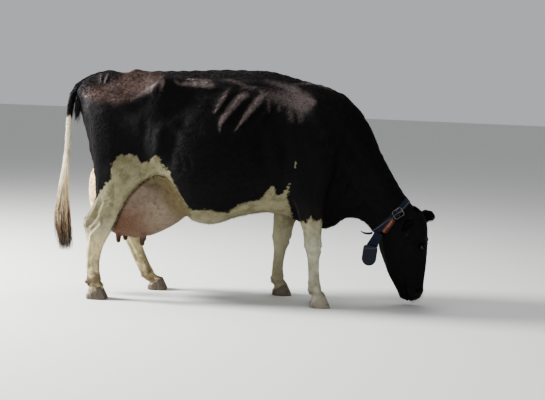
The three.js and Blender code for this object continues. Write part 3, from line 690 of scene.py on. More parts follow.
# %% Udder
UDDER_FOLD = [(-0.849, 0.436), (-0.801, 0.558), (-0.747, 0.662), (-0.682, 0.738), (-0.624, 0.782),
              (-0.559, 0.802), (-0.500, 0.788), (-0.452, 0.730), (-0.412, 0.669), (-0.384, 0.623)]
for side in BOTH:
    fold = clay.laid(UDDER_FOLD[1:] if side == RIGHT else UDDER_FOLD[3:], side)
    clay.stroke(fold, 11, -20, 0.10)
    clay.stroke(fold, 14, 11, 0.12, shift=(-0.017, 0, 0.015))
    quarters = [(-0.70, side * 0.20, 0.42), (-0.69, side * 0.21, 0.52), (-0.66, side * 0.2, 0.62)]
    clay.stroke(quarters, 26, -7)
    for k in range(4):
        corners = [(chance.uniform(-0.78, -0.50), side * 0.2, 0.70 - 0.03 * k)]
        for _ in range(5):
            x, y, z = corners[-1]
            corners.append((x + chance.uniform(-0.035, 0.035), y, z - chance.uniform(0.02, 0.05)))
        clay.stroke(corners, 8, 3.5)
cleft = [(-0.36, 0.52), (-0.50, 0.40), (-0.70, 0.36), (-0.86, 0.40), (-0.99, 0.52), (-1.02, 0.66)]
clay.stroke([(x, 0, z) for x, z in cleft], 22, -14, 0.1)
TEAT_SWELL = 5.5 * MM  # the wrap leaves the teats too thin
clay.moves += TEAT_SWELL * spread(among(part, "teat"), edges, 2)
clay.press()
print("udder modelled")


# %% [markdown]
# ### Legs
# Below the knee and the hock a leg is bone and tendon under thin skin. Each form is set by its
# height and by how far round the leg it lies, starting from the front, so that the same few lines
# serve all four legs in their different steps.

# %% A way to find places round a leg
def rings_of(*names):
    """The height, the middle and the half widths of upright solids, cut level every centimetre."""
    meshes = [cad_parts[name].data for name in names]
    starts, ends = (np.concatenate([points_of(m)[edges_of(m)[:, k]] for m in meshes]) for k in (0, 1))
    rows = []
    for z in np.arange(starts[:, 2].min() + MM, starts[:, 2].max() - MM, 10 * MM):
        crosses = (starts[:, 2] > z) != (ends[:, 2] > z)
        a, b = starts[crosses], ends[crosses]
        cut = a + ((z - a[:, 2]) / (b[:, 2] - a[:, 2]))[:, None] * (b - a)
        low, high = cut.min(0), cut.max(0)
        rows.append((z, *((low + high) / 2)[:2], *((high - low) / 2)[:2]))
    return np.array(rows)


leg_axes = {foot: rings_of(f"leg_{foot}") for foot in FEET}


def round_leg(foot, z, degrees):
    """The place on a leg at a height. 0 degrees is its front, 90 its outer side, 180 its back."""
    rows = leg_axes[foot]
    x, y = np.interp(z, rows[:, 0], rows[:, 1]), np.interp(z, rows[:, 0], rows[:, 2])
    out = LEFT if foot.endswith("left") else RIGHT
    angle = math.radians(degrees)
    way = Vector((math.cos(angle), out * math.sin(angle), 0))
    spot = clay.tree.ray_cast(Vector((x, y, z)), way)[0]
    return np.array(spot if spot is not None else (x, y, z))


def leg_stroke(foot, line, width, height, ends=0.3):
    clay.stroke([round_leg(foot, z, degrees) for z, degrees in line], width, height, ends)


def leg_dab(foot, z, degrees, radii, height):
    clay.dab(round_leg(foot, z, degrees), radii, height)


# %% Tendons, knees, hocks and fetlocks
for foot in FEET:
    fore = foot.startswith("fore")
    top = 0.33 if fore else 0.40
    for flank in (1, -1):
        leg_stroke(foot, [(top, flank * 118), (0.25, flank * 122), (0.17, flank * 118)], 9, -5.5)
        leg_stroke(foot, [(top, flank * 150), (0.25, flank * 152), (0.18, flank * 148)], 9, 2.5)
        leg_stroke(foot, [(top, flank * 62), (0.25, flank * 66), (0.18, flank * 62)], 10, -2.0)
        leg_stroke(foot, [(0.128, flank * 100), (0.108, flank * 112), (0.095, flank * 125)], 12, -4)
        leg_dab(foot, 0.146, flank * 88, (26, 18, 22), 4)
    leg_dab(foot, 0.108, 0, (16, 22, 14), -4)
    leg_stroke(foot, [(0.150, 180), (0.120, 180), (0.095, 180)], 9, -6, 0.2)
    leg_stroke(foot, [(0.118, 0), (0.098, 0), (0.080, 0)], 8, -5, 0.2)
    for degrees in range(0, 360, 30):
        leg_dab(foot, 0.088, degrees, (16, 16, 8), 3)
    for place in ("outer", "inner"):
        clay.dab(middle_of(f"dewclaw_{foot}_{place}") + (0, 0, 0.008), (26, 20, 18), 9)
    if fore:
        leg_dab(foot, 0.398, 0, (26, 34, 26), 5)
        leg_dab(foot, 0.352, 0, (20, 30, 14), 3)
        leg_stroke(foot, [(0.376, -60), (0.374, 0), (0.376, 60)], 10, -4)
        for flank in (1, -1):
            leg_dab(foot, 0.385, flank * 85, (24, 16, 28), 3.5)
            leg_stroke(foot, [(0.345, flank * 130), (0.385, flank * 132), (0.42, flank * 128)], 12, -4)
        leg_dab(foot, 0.392, 180, (16, 20, 22), 5)
        for degrees, depth in ((60, -6), (118, -6), (-60, -4), (-120, -4)):
            line = [(0.700, degrees), (0.600, degrees), (0.500, degrees * 1.04), (0.440, degrees * 1.08)]
            leg_stroke(foot, line, 14, depth)
        leg_stroke(foot, [(0.720, 90), (0.620, 90), (0.520, 88)], 22, 4)
    else:
        for flank in (1, -1):
            hollow = [(0.640, flank * 138), (0.590, flank * 142), (0.540, flank * 142), (0.505, flank * 136)]
            leg_stroke(foot, hollow, 17, -11)
            leg_stroke(foot, [(0.475, flank * 128), (0.440, flank * 124), (0.405, flank * 122)], 12, -5)
            leg_dab(foot, 0.452, flank * 78, (26, 16, 28), 5)
            leg_stroke(foot, [(0.700, flank * 78), (0.620, flank * 82), (0.560, flank * 84)], 18, 4)
        leg_dab(foot, 0.520, 180, (22, 22, 22), 7)
        leg_stroke(foot, [(0.475, 40), (0.470, 0), (0.475, -40)], 14, -5)
        leg_dab(foot, 0.430, 20, (20, 22, 26), 4)
        leg_stroke(foot, [(0.660, 62), (0.560, 50), (0.480, 60), (0.400, 72)], 7, 2.5)

# %% [markdown]
# The outer side of the hock shows the most. A cord of tendon crosses it to the cannon bone, with
# a hollow behind it under the heel cord and a groove before it, and the thin skin above is creased.

# %% The outer side of the hock
HOCK = [  # places as x and z on the right leg, width and height in millimetres
    ([(-0.921, 0.540), (-0.911, 0.480), (-0.938, 0.447), (-0.968, 0.410), (-0.973, 0.374), (-0.982, 0.297)],
     8, 10),
    ([(-0.936, 0.565), (-0.955, 0.510), (-0.990, 0.468), (-0.982, 0.440)], 14, -14),
    ([(-0.875, 0.470), (-0.890, 0.430), (-0.922, 0.393), (-0.940, 0.346), (-0.949, 0.267), (-0.951, 0.182)],
     11, -9),
    ([(-0.975, 0.360), (-0.984, 0.270), (-0.988, 0.180)], 8, 5),
    ([(-0.905, 0.586), (-0.861, 0.614), (-0.815, 0.628)], 5, -4),
    ([(-0.908, 0.608), (-0.862, 0.637), (-0.810, 0.652)], 5, -3),
    ([(-0.900, 0.640), (-0.850, 0.672)], 6, -2.5),
    ([(-0.893, 0.560), (-0.860, 0.580), (-0.835, 0.585)], 5, -2.5),
    ([(-0.930, 0.300), (-0.935, 0.240)], 12, 3),
]


def leg_middle(foot, z):
    return np.interp(z, leg_axes[foot][:, 0], leg_axes[foot][:, 1])


for foot, side in (("hind_right", RIGHT), ("hind_left", LEFT)):
    for line, width, height in HOCK:
        here = [(x + leg_middle(foot, z) - leg_middle("hind_right", z), z) for x, z in line]
        clay.lay(side, here, width, height, 0.25)
clay.press()
print("legs modelled")


# %% [markdown]
# ### Head
# The skull lies just under the skin of the face: the flat forehead, the rims of the eye sockets,
# the crest of the cheek, the roof of the nose. The muzzle is soft, with two comma-shaped nostrils
# at its upper corners and the slit of the mouth running back from its end.

# %% Bones of the face
def face(side, *corners):
    """Places on one side of the head, from x, y and z in millimetres."""
    return [on_head(x * MM, side * y * MM, z * MM) for x, y, z in corners]


for side in BOTH:
    rim = face(side, (1182, 72, 405), (1176, 88, 437), (1150, 106, 447), (1122, 112, 428), (1112, 112, 396),
               (1124, 106, 368))
    clay.stroke(rim, 13, 8, 0.2)
    crest = face(side, (1160, 90, 365), (1150, 86, 325), (1140, 72, 270), (1135, 60, 235))
    clay.stroke(crest, 13, 6)
    clay.stroke(face(side, (1125, 90, 350), (1110, 80, 290), (1105, 66, 230)), 20, -6)
    nose = face(side, (1182, 40, 350), (1180, 34, 280), (1176, 30, 200), (1170, 30, 150))
    clay.stroke(nose, 12, 5)
    beside = face(side, (1165, 66, 345), (1160, 56, 270), (1158, 50, 190), (1160, 50, 140))
    clay.stroke(beside, 15, -5)
    clay.dab(face(side, (1060, 85, 500))[0], (50, 30, 45), -8)
    clay.stroke(face(side, (1100, 100, 470), (1060, 95, 520), (1040, 85, 560)), 14, 6)
    jaw = face(side, (905, 50, 480), (900, 56, 400), (915, 56, 320), (945, 45, 245))
    clay.stroke(jaw, 16, 7, 0.25)
    clay.dab(face(side, (960, 86, 400))[0], (58, 30, 75), 9)
    cheek = face(side, (1020, 90, 420), (1010, 90, 360), (1020, 80, 300), (1030, 70, 240))
    clay.stroke(cheek, 15, -5)
    clay.stroke(face(side, (990, 70, 300), (1040, 66, 225), (1085, 60, 180)), 7, 2.5)
    clay.stroke(face(side, (1110, 90, 330), (1060, 80, 300), (1020, 75, 250)), 7, 2.5)
    for k in range(3):
        wrinkle = face(side, (1176 - 2 * k, 60, 470 + 14 * k), (1160, 85, 478 + 12 * k),
                       (1130, 98, 472 + 10 * k))
        clay.stroke(wrinkle, 5, -2.2, 0.35)
clay.dab(on_head(1.185, 0, 0.455), (30, 50, 60), -5)
clay.dab(on_head(1.080, 0, 0.665), (35, 45, 30), 2)
for z in (0.68, 0.50):  # the ear on the far side is a thick round lobe
    clay.stroke([(1.145, 0.10, z), (1.180, 0.14, z), (1.215, 0.18, z)], 34, 9, 0.25)
clay.dab((1.222, 0.185, 0.50), (34, 40, 34), 15)
clay.stroke(face(1, (1180, 0, 600), (1186, 0, 530), (1186, 0, 450)), 14, -3)

# %% Muzzle, nostrils and mouth
for side in BOTH:
    nostril = face(side, (1168, 22, 96), (1166, 36, 110), (1155, 50, 118), (1138, 58, 112), (1130, 60, 98))
    clay.stroke(nostril, 15, 6, 0.15)
    clay.stroke(nostril[1:], 7, -21, 0.18, sharp=3)
    clay.stroke(face(side, (1150, 55, 150), (1130, 60, 140), (1115, 64, 120)), 8, -3)
    mouth = face(side, (1092, 12, 40), (1086, 36, 52), (1076, 54, 78), (1064, 62, 110), (1052, 64, 140),
                 (1046, 62, 158))
    clay.stroke(mouth, 5, -9, 0.1)
    for dx in (0.012, -0.012):
        clay.stroke(mouth, 9, 4, 0.15, shift=on_head(1.012 + dx, 0, 0) - on_head(1.012, 0, 0))
    clay.dab(face(side, (1045, 60, 175))[0], (14, 10, 12), -4)
clay.stroke(face(1, (1165, 0, 100), (1160, 0, 66), (1130, 0, 45)), 5, -3, 0.25)
clay.dab(on_head(1.035, 0, 0.060), (26, 30, 22), 6)
clay.press()
print("face modelled")

# %% [markdown]
# ### Eyes and lids
# Lids are two folds of skin that lie on the eyeball. The points of the hide over the opening, an
# almond a good 35 mm long, are pressed in behind the ball, and those round it are drawn on to the
# ball at the thickness of a lid. A crease is left where each lid folds when it opens.

# %% Lids
BALL = 0.0195
LID = 3.0 * MM
ALMOND_LONG, ALMOND_UP, ALMOND_DOWN = 18.5 * MM, 10 * MM, 7.5 * MM
eye_looks = {}
for side in BOTH:
    middle = eye_middles[side]
    ahead, down = on_head(2.012, 0, 0) - on_head(1.012, 0, 0), np.array([0, 0, -1])
    out = unit(0.40 * ahead + 0.90 * (on_head(1.012, side, 0) - on_head(1.012, 0, 0)) - 0.05 * down)
    along = 0.66 * ahead + 0.75 * down
    along = unit(along - np.dot(along, out) * out)
    up = np.cross(out, along)
    up *= np.sign(up[2] + 0.3 * up[0])
    eye_looks[side] = (middle, out, along, up)
    offset = clay.points - middle
    flat = np.hypot(offset @ along, offset @ up)
    near = np.flatnonzero((flat < 0.045) & (offset @ out > -0.004) & (np.linalg.norm(offset, axis=1) < 0.06))
    u, v, w, flat = (offset @ along)[near], (offset @ up)[near], (offset @ out)[near], flat[near]
    tall = np.where(v > 0, ALMOND_UP, ALMOND_DOWN) * np.clip(1 - (u / ALMOND_LONG) ** 2, 0.02, 1) ** 0.75
    gap = (np.maximum(np.abs(v) / tall, np.abs(u) / ALMOND_LONG) - 1) * np.minimum(tall, ALMOND_LONG * 0.6)
    lid_w = np.maximum(np.sqrt(np.maximum((BALL + LID) ** 2 - flat**2, 0)), 0.2 * BALL)
    on_lid = 1 - fade(flat, 0.019, 0.036)
    target = w + on_lid * (lid_w - w)
    deep = np.sqrt(np.maximum((0.82 * BALL) ** 2 - flat**2, 0))
    opened = 1 - fade(gap, -0.0016, 0.0008)
    target = target + opened * (np.minimum(deep, target) - target)
    rim = 0.9 * MM * np.exp(-((gap - 0.0022) / 0.0016) ** 2)
    crease = -2.2 * MM * np.exp(-((gap - 0.0085) / 0.0022) ** 2) * (v > 0)
    crease += -1.4 * MM * np.exp(-((gap - 0.0075) / 0.002) ** 2) * (v <= 0)
    target += (rim + crease) * on_lid
    clay.points[near] += (target - w)[:, None] * out
put_points(mesh, clay.points)
clay.refresh()
print("lids folded round", len(near), "points")

# %% [markdown]
# ### Down to the roots of the coat
# The solids reach out to the tips of the hair, so the skin is drawn in by the depth of the coat.
# Then the mesh is thinned where the form is plain, and each point of it is told what it is: which
# part, how far inside a pale marking, how dirty, and where light and shade are painted on it. Skin
# and coat read the same values.

# %% Draw the skin in, and thin the mesh
part = parts_at(clay.points)
thin_coat = among(part, "head", "eye", "ear", "leg", "claw", "udder", "teat")
coat_depth = spread(np.where(thin_coat > 0, 1.2, 3.0), edges_of(mesh), 8) * MM
put_points(mesh, clay.points - coat_depth[:, None] * clay.normals)

HIDE_TRIANGLES = 188_000 if full else 90_000
face_count = len(mesh.polygons)
if face_count > HIDE_TRIANGLES:
    kept = np.zeros(len(clay.points))
    for middle, reach in finer:
        kept = np.maximum(kept, 1 - fade(np.linalg.norm(clay.points - middle, axis=1), reach, 1.2 * reach))
    thin_out = hide.vertex_groups.new(name="thin_out")
    levels = np.round((1 - 0.9 * kept) * 9).astype(int)
    for level in np.unique(levels):
        thin_out.add(np.flatnonzero(levels == level).tolist(), level / 9, "REPLACE")
    mesh = applied(hide, "DECIMATE", ratio=HIDE_TRIANGLES / face_count, vertex_group="thin_out")
    hide.vertex_groups.clear()
mesh.polygons.foreach_set("use_smooth", np.ones(len(mesh.polygons), bool))
points, normals, edges = points_of(mesh), normals_of(mesh), edges_of(mesh)
hide_tree = tree_of(mesh)
print("hide of", len(mesh.polygons), "triangles, was", face_count)


# %% [markdown]
# The markings are drawn as outlines seen from each side. The distance of a point to the outline,
# above 0 inside it, is worth more than a plain yes or no: the finish can blur it, roughen it with
# noise and set the odd white hair beside it.

# %% Distances to outlines
def from_stretch(x, z, ax, az, bx, bz):
    """How far along a straight stretch the spot nearest to each place is, and how far off."""
    t = np.clip(((x - ax) * (bx - ax) + (z - az) * (bz - az)) / ((bx - ax) ** 2 + (bz - az) ** 2), 0, 1)
    return t, np.hypot(x - ax - t * (bx - ax), z - az - t * (bz - az))


def apart_from(starts, ends, x, z):
    """How far each place lies from the nearest of some straight stretches."""
    return np.min([from_stretch(x, z, *a, *b)[1] for a, b in zip(starts, ends)], axis=0)


def inside_by(outline, x, z):
    """How far inside a closed outline each place lies, below 0 outside it."""
    starts = np.asarray(outline, float)
    ends = np.roll(starts, -1, 0)
    crossings = np.zeros(len(x), int)
    for (ax, az), (bx, bz) in zip(starts, ends):
        crosses = (az > z) != (bz > z)
        crossings += crosses & (x < ax + (z - az) / (bz - az if bz != az else 1e-9) * (bx - ax))
    nearest = apart_from(starts, ends, x, z)
    return np.where(crossings % 2 == 1, nearest, -nearest)


# %% The outlines of the pale markings
PALE_RIGHT = [
    (-0.990, 0.560), (-0.947, 0.642), (-0.901, 0.714), (-0.850, 0.773), (-0.852, 0.829), (-0.823, 0.925),
    (-0.806, 0.914), (-0.791, 0.922), (-0.760, 0.928), (-0.727, 0.935), (-0.709, 0.922), (-0.694, 0.925),
    (-0.687, 0.891), (-0.661, 0.881), (-0.646, 0.887), (-0.632, 0.882), (-0.602, 0.901), (-0.585, 0.921),
    (-0.567, 0.932), (-0.552, 0.920), (-0.541, 0.926), (-0.534, 0.889), (-0.503, 0.852), (-0.473, 0.837),
    (-0.464, 0.793), (-0.450, 0.760), (-0.428, 0.730), (-0.411, 0.699), (-0.394, 0.659), (-0.355, 0.615),
    (-0.339, 0.594), (-0.304, 0.591), (-0.259, 0.606), (-0.203, 0.598), (-0.160, 0.588), (-0.122, 0.575),
    (-0.083, 0.604), (-0.049, 0.643), (0.028, 0.661), (0.060, 0.668), (0.095, 0.680), (0.121, 0.729),
    (0.150, 0.768), (0.164, 0.780), (0.181, 0.771), (0.183, 0.718), (0.200, 0.708), (0.217, 0.704),
    (0.238, 0.732), (0.263, 0.796), (0.266, 0.760), (0.257, 0.691), (0.277, 0.632), (0.300, 0.560),
    (0.300, 0.30), (-1.30, 0.30), (-1.30, 0.560),
]
PALE_LEFT = [
    (-1.000, 0.620), (-0.960, 0.700), (-0.945, 0.790), (-0.900, 0.870), (-0.862, 0.935), (-0.830, 0.925),
    (-0.790, 0.965), (-0.752, 0.940), (-0.700, 0.905), (-0.655, 0.925), (-0.610, 0.880), (-0.560, 0.835),
    (-0.520, 0.770), (-0.470, 0.720), (-0.420, 0.665), (-0.350, 0.640), (-0.280, 0.655), (-0.210, 0.690),
    (-0.150, 0.680), (-0.090, 0.720), (-0.040, 0.770), (0.000, 0.760), (0.050, 0.705), (0.110, 0.690),
    (0.170, 0.660), (0.230, 0.640), (0.280, 0.600), (0.300, 0.300), (-1.30, 0.30), (-1.30, 0.620),
]
GIRTH_LEFT = [
    (0.010, 1.095), (0.050, 1.150), (0.095, 1.165), (0.120, 1.115), (0.160, 1.070), (0.150, 1.000),
    (0.115, 0.950), (0.110, 0.905), (0.070, 0.925), (0.040, 0.985), (0.000, 1.020),
]
FLECK_RIGHT = [(0.290, 0.934), (0.307, 0.940), (0.302, 0.884), (0.284, 0.876)]
CLEAR_EDGED = 1.8  # the small fleck is less frayed by hairs than the large markings
SOCK_FORE_RIGHT = [
    (0.250, 0.600), (0.300, 0.585), (0.315, 0.560), (0.330, 0.545), (0.359, 0.552), (0.375, 0.540),
    (0.391, 0.572), (0.407, 0.584), (0.425, 0.552), (0.448, 0.566), (0.471, 0.561), (0.560, 0.560),
    (0.560, -0.10), (0.200, -0.10),
]
TAIL_PALE_BELOW = 1.13


def pale_at(points, part):
    """How far inside the pale markings each point lies, in metres."""
    x, y, z = points.T
    right = np.maximum(inside_by(PALE_RIGHT, x, z), CLEAR_EDGED * inside_by(FLECK_RIGHT, x, z))
    left = np.maximum(inside_by(PALE_LEFT, x, z), inside_by(GIRTH_LEFT, x, z))
    pale = right + fade(y, -0.05, 0.05) * (left - right)
    pale = np.where(among(part, "head", "eye", "ear", "neck") > 0, -0.2, pale)
    sock = np.maximum(inside_by(SOCK_FORE_RIGHT, x, z), pale)
    pale = np.where(among(part, "leg_fore_right") > 0, sock, pale)
    pale = np.where(among(part, "leg_fore_left") > 0, np.maximum(0.70 - z + 0.2 * (x - 0.3), pale), pale)
    below_hock = 0.555 - z - 0.4 * np.minimum(x + 0.99, 0)
    pale = np.where(among(part, "leg_hind", "claw") > 0, np.maximum(pale, below_hock), pale)
    pale = np.minimum(np.where(among(part, "udder", "teat") > 0, 0.2, pale), 0.2)
    on_tail = TAIL_PALE_BELOW - z
    on_tail += 3 * fade(on_tail, -0.01, 0.015)  # the tail takes the palest white: clean hair, and painted sunlight
    return np.where(among(part, "tail") > 0, on_tail, pale)


# %% [markdown]
# Sun and rain bleach the black coat where it lies over bone. The bowl of the rump turns brown, which
# is also painted light, and a grey gleam lies on the loin, the rib rolls and the shoulder: a painted
# highlight on bleached hair. Each gleam is a stroke that tapers: a line of places, each with its half
# width in millimetres and its strength.

# %% The bleached coat
BROWN_RUMP = [
    (-0.545, 1.400), (-0.588, 1.345), (-0.650, 1.300), (-0.720, 1.262), (-0.785, 1.240), (-0.842, 1.228),
    (-0.931, 1.242), (-1.011, 1.255), (-1.066, 1.280), (-1.050, 1.318), (-0.993, 1.354), (-0.945, 1.352),
    (-0.900, 1.368), (-0.860, 1.378), (-0.835, 1.430), (-0.800, 1.500), (-0.550, 1.500),
]
GLEAMS = [
    # rib rolls, from the rear, and the arch that joins them
    [(-0.135, 1.361, 14, 0.5), (-0.162, 1.306, 17, 0.8), (-0.191, 1.257, 15, 0.9), (-0.214, 1.212, 9, 0.9)],
    [(-0.025, 1.330, 26, 0.7), (-0.072, 1.299, 30, 0.9), (-0.111, 1.250, 29, 0.9), (-0.150, 1.195, 23, 0.9),
     (-0.174, 1.147, 15, 1.0), (-0.181, 1.105, 9, 0.9)],
    [(0.081, 1.339, 24, 0.7), (0.046, 1.288, 29, 0.9), (0.006, 1.239, 24, 0.9), (-0.033, 1.179, 15, 0.9),
     (-0.068, 1.130, 10, 0.8), (-0.088, 1.097, 8, 0.5)],
    [(-0.185, 1.418, 10, 0.4), (-0.122, 1.411, 15, 0.6), (-0.067, 1.397, 16, 0.6), (-0.017, 1.372, 16, 0.7),
     (0.042, 1.369, 18, 0.7), (0.087, 1.333, 22, 0.8)],
    [(-0.122, 1.405, 14, 0.5), (-0.130, 1.365, 12, 0.5)],
    [(-0.050, 1.390, 14, 0.5), (-0.060, 1.320, 18, 0.6)],
    # loin, hook and the ridge between hook and thigh joint
    [(-0.480, 1.398, 9, 0.6), (-0.440, 1.376, 14, 0.7), (-0.376, 1.380, 20, 0.8), (-0.301, 1.383, 27, 1.1),
     (-0.246, 1.374, 22, 0.9), (-0.205, 1.366, 10, 0.3)],
    [(-0.400, 1.409, 9, 0.7), (-0.251, 1.407, 9, 0.7)],
    [(-0.556, 1.419, 14, 0.7), (-0.548, 1.381, 17, 1.0), (-0.552, 1.337, 13, 0.6), (-0.561, 1.290, 8, 0.3)],
    [(-0.547, 1.400, 14, 0.8), (-0.608, 1.357, 12, 0.6), (-0.674, 1.317, 14, 0.5), (-0.735, 1.268, 16, 0.4)],
    # the folds beside the tail head, and the pin bone
    [(-0.963, 1.420, 7, 0.8), (-0.955, 1.362, 8, 0.8)], [(-0.917, 1.420, 7, 0.7), (-0.929, 1.362, 8, 0.8)],
    [(-1.060, 1.300, 8, 1.0), (-1.040, 1.268, 8, 0.8)], [(-1.030, 1.330, 12, 0.5), (-0.960, 1.290, 30, 0.25)],
    # shoulder: one broad sweep, with ragged ends that hang from it
    [(0.105, 1.335, 60, 0.55), (0.235, 1.315, 80, 0.72), (0.330, 1.290, 80, 0.98)],
    [(0.093, 1.420, 23, 0.50), (0.204, 1.394, 30, 0.72), (0.271, 1.364, 44, 0.97), (0.316, 1.322, 50, 1.15),
     (0.394, 1.298, 26, 1.20)],
    [(0.110, 1.350, 24, 0.58), (0.118, 1.228, 14, 0.52)], [(0.170, 1.330, 26, 0.6), (0.183, 1.235, 14, 0.50)],
    [(0.238, 1.351, 40, 0.76), (0.255, 1.185, 30, 0.50)],
    [(0.305, 1.311, 44, 0.95), (0.319, 1.187, 30, 0.55)],
    [(0.360, 1.313, 36, 1.00), (0.351, 1.240, 26, 0.58)],
    [(0.280, 1.410, 9, 0.6), (0.403, 1.420, 9, 0.8), (0.492, 1.391, 9, 0.7), (0.530, 1.372, 8, 0.4)],
    # painted highlights on the cheek bone and brow, only just
    [(1.030, 0.470, 16, 0.28), (1.046, 0.500, 12, 0.32)],
    [(1.060, 0.400, 12, 0.22), (1.050, 0.430, 10, 0.22)],
]


def gleaming(x, z):
    """How strongly the strokes of gleam cover each place."""
    cover = np.zeros(len(x))
    for stroke in GLEAMS:
        for (ax, az, a_wide, a_much), (bx, bz, b_wide, b_much) in zip(stroke, stroke[1:]):
            t, apart = from_stretch(x, z, ax, az, bx, bz)
            wide = (a_wide + t * (b_wide - a_wide)) * MM
            much = a_much + t * (b_much - a_much)
            cover = np.maximum(cover, much * (1 - fade(apart / wide, 0.1, 1.6)))
    return cover


# %% What each point of the hide is
part = parts_at(points)
pale = spread(pale_at(points, part), edges, 1)
x, y, z = points.T
udder = among(part, "udder", "teat")
for side, first in ((RIGHT, 0), (LEFT, 3)):
    fold = UDDER_FOLD[first:]
    before_fold = inside_by([*fold, (-0.352, 0.600), (-0.352, 0.300), (fold[0][0], 0.300)], x, z) > -0.003
    own_leg = among(part, "leg") * (z < fold[0][1] + 0.004) + among(part, "claw")
    udder = np.where(before_fold & (side * y > 0.05) & (own_leg == 0), 1, udder)
udder = spread(udder * (1 - among(part, "leg_hind_left") * (y > 0) * (z < 0.66)), edges, 1)
from_fold = apart_from(UDDER_FOLD[:-1], UDDER_FOLD[1:], x - 0.006, z + 0.004)
fold_shade = np.exp(-((from_fold / 0.009) ** 2)) * (y < 0) * (1 - fade(x, -0.56, -0.47))
fold_shade *= among(part, "udder", "leg_hind_right", "trunk")
naked = np.linalg.norm((points - on_head(1.135, 0, 0.072)) / (0.062, 0.068, 0.062), axis=1)
naked = 1 - fade(naked, 0.75, 1.15)
low_leg = among(part, "leg", "claw")
dirt = low_leg * (1 - fade(z, 0.10, 0.42)) + 0.25 * low_leg * (1 - fade(z, 0.4, 0.75))
dirt *= 1 - 0.55 * fade(x, -0.1, 0.1)  # the forelegs are cleaner
dirt = np.maximum(dirt, among(part, "tail_core") * (1 - fade(z, 0.5, 0.72)))
HOCK_HOLLOWS = [(-0.978, 0.478, 0.8), (-0.950, 0.455, 0.6), (-0.905, 0.405, 0.7), (-0.930, 0.530, 0.4)]
for worn_x, worn_z, much in HOCK_HOLLOWS:  # darker in the hollows of the hock: painted shade, and hair rubbed thin
    worn = np.exp(-((x - worn_x) ** 2 + (z - worn_z) ** 2) / 0.018**2)
    dirt = np.maximum(dirt, much * worn * among(part, "leg_hind"))
on_back = among(part, "trunk", "neck", "leg")
# painted light: brown where the back faces up and in the bowl of the rump, over sun-bleached hair
bloom = 0.08 * fade(normals[:, 2], 0.35, 0.9) * fade(z, 1.2, 1.38)
bloom = np.maximum(bloom, fade(inside_by(BROWN_RUMP, x, z), -0.022, 0.030)) * on_back
gleam = gleaming(x, z) * among(part, "trunk", "neck", "leg", "head")
upright = among(part, "leg", "claw", "tail", "head", "eye")
hide_values = {"pale": pale, "udder": udder, "fold_shade": fold_shade, "naked": naked,
               "dirt": spread(dirt, edges, 3), "bloom": spread(bloom, edges, 2), "gleam": gleam,
               "upright": spread(upright, edges, 6), "rest_place": points}
for name, values in hide_values.items():
    put_values(mesh, name, values)
print("pale share of the hide", round(float((pale > 0).mean()), 2))

# %% [markdown]
# ### The finish of skin and coat
# Hairs lie in one direction, so they are drawn with noise that is stretched along the way they
# lie: backwards and down on the trunk, straight down on legs and face. The same noise frays the
# edge of each marking into hairs. Black hair turns brown where the sun has bleached it, and this
# brown is also painted light on the top of the back and in the bowl of the rump.

# %% Colours of the coat, for skin and tufts alike
BLACK, BROWN, GREY = (0.0062, 0.0052, 0.0060), (0.062, 0.038, 0.031), (0.185, 0.148, 0.140)
DUST, TANNED = (0.30, 0.20, 0.13), (0.018, 0.013, 0.012)
# painted shade and light: the whites of the body are kept dark as in shade, and TAIL_WHITE is as bright as
# white in sunlight
CREAM, WHITE, STRAW = (0.34, 0.320, 0.220), (0.47, 0.445, 0.330), (0.215, 0.190, 0.115)
TAIL_WHITE, STAIN_AND_HOLLOW_SHADE = (0.88, 0.84, 0.67), (0.17, 0.13, 0.08)
WHITE_LEFT_IN_SHADE = (0.62, 0.605, 0.53)  # painted shade: how much of the white is left on the thigh and belly
SUNLIT_HIND_WHITE, SHADED_FORE_WHITE = (0.84, 0.73, 0.43), (0.44, 0.45, 0.37)  # of the cannons: painted sunlight behind, painted cool shade in front
UDDER_SKIN, UDDER_RED, UDDER_STRAW = (0.225, 0.182, 0.140), (0.125, 0.068, 0.048), (0.150, 0.122, 0.058)
UDDER_CREAM, UDDER_DARK, UDDER_BLOTCH = (0.66, 0.50, 0.30), (0.040, 0.024, 0.015), (0.095, 0.062, 0.040)
UDDER_REDDEST = (-0.80, 0, 0.43)


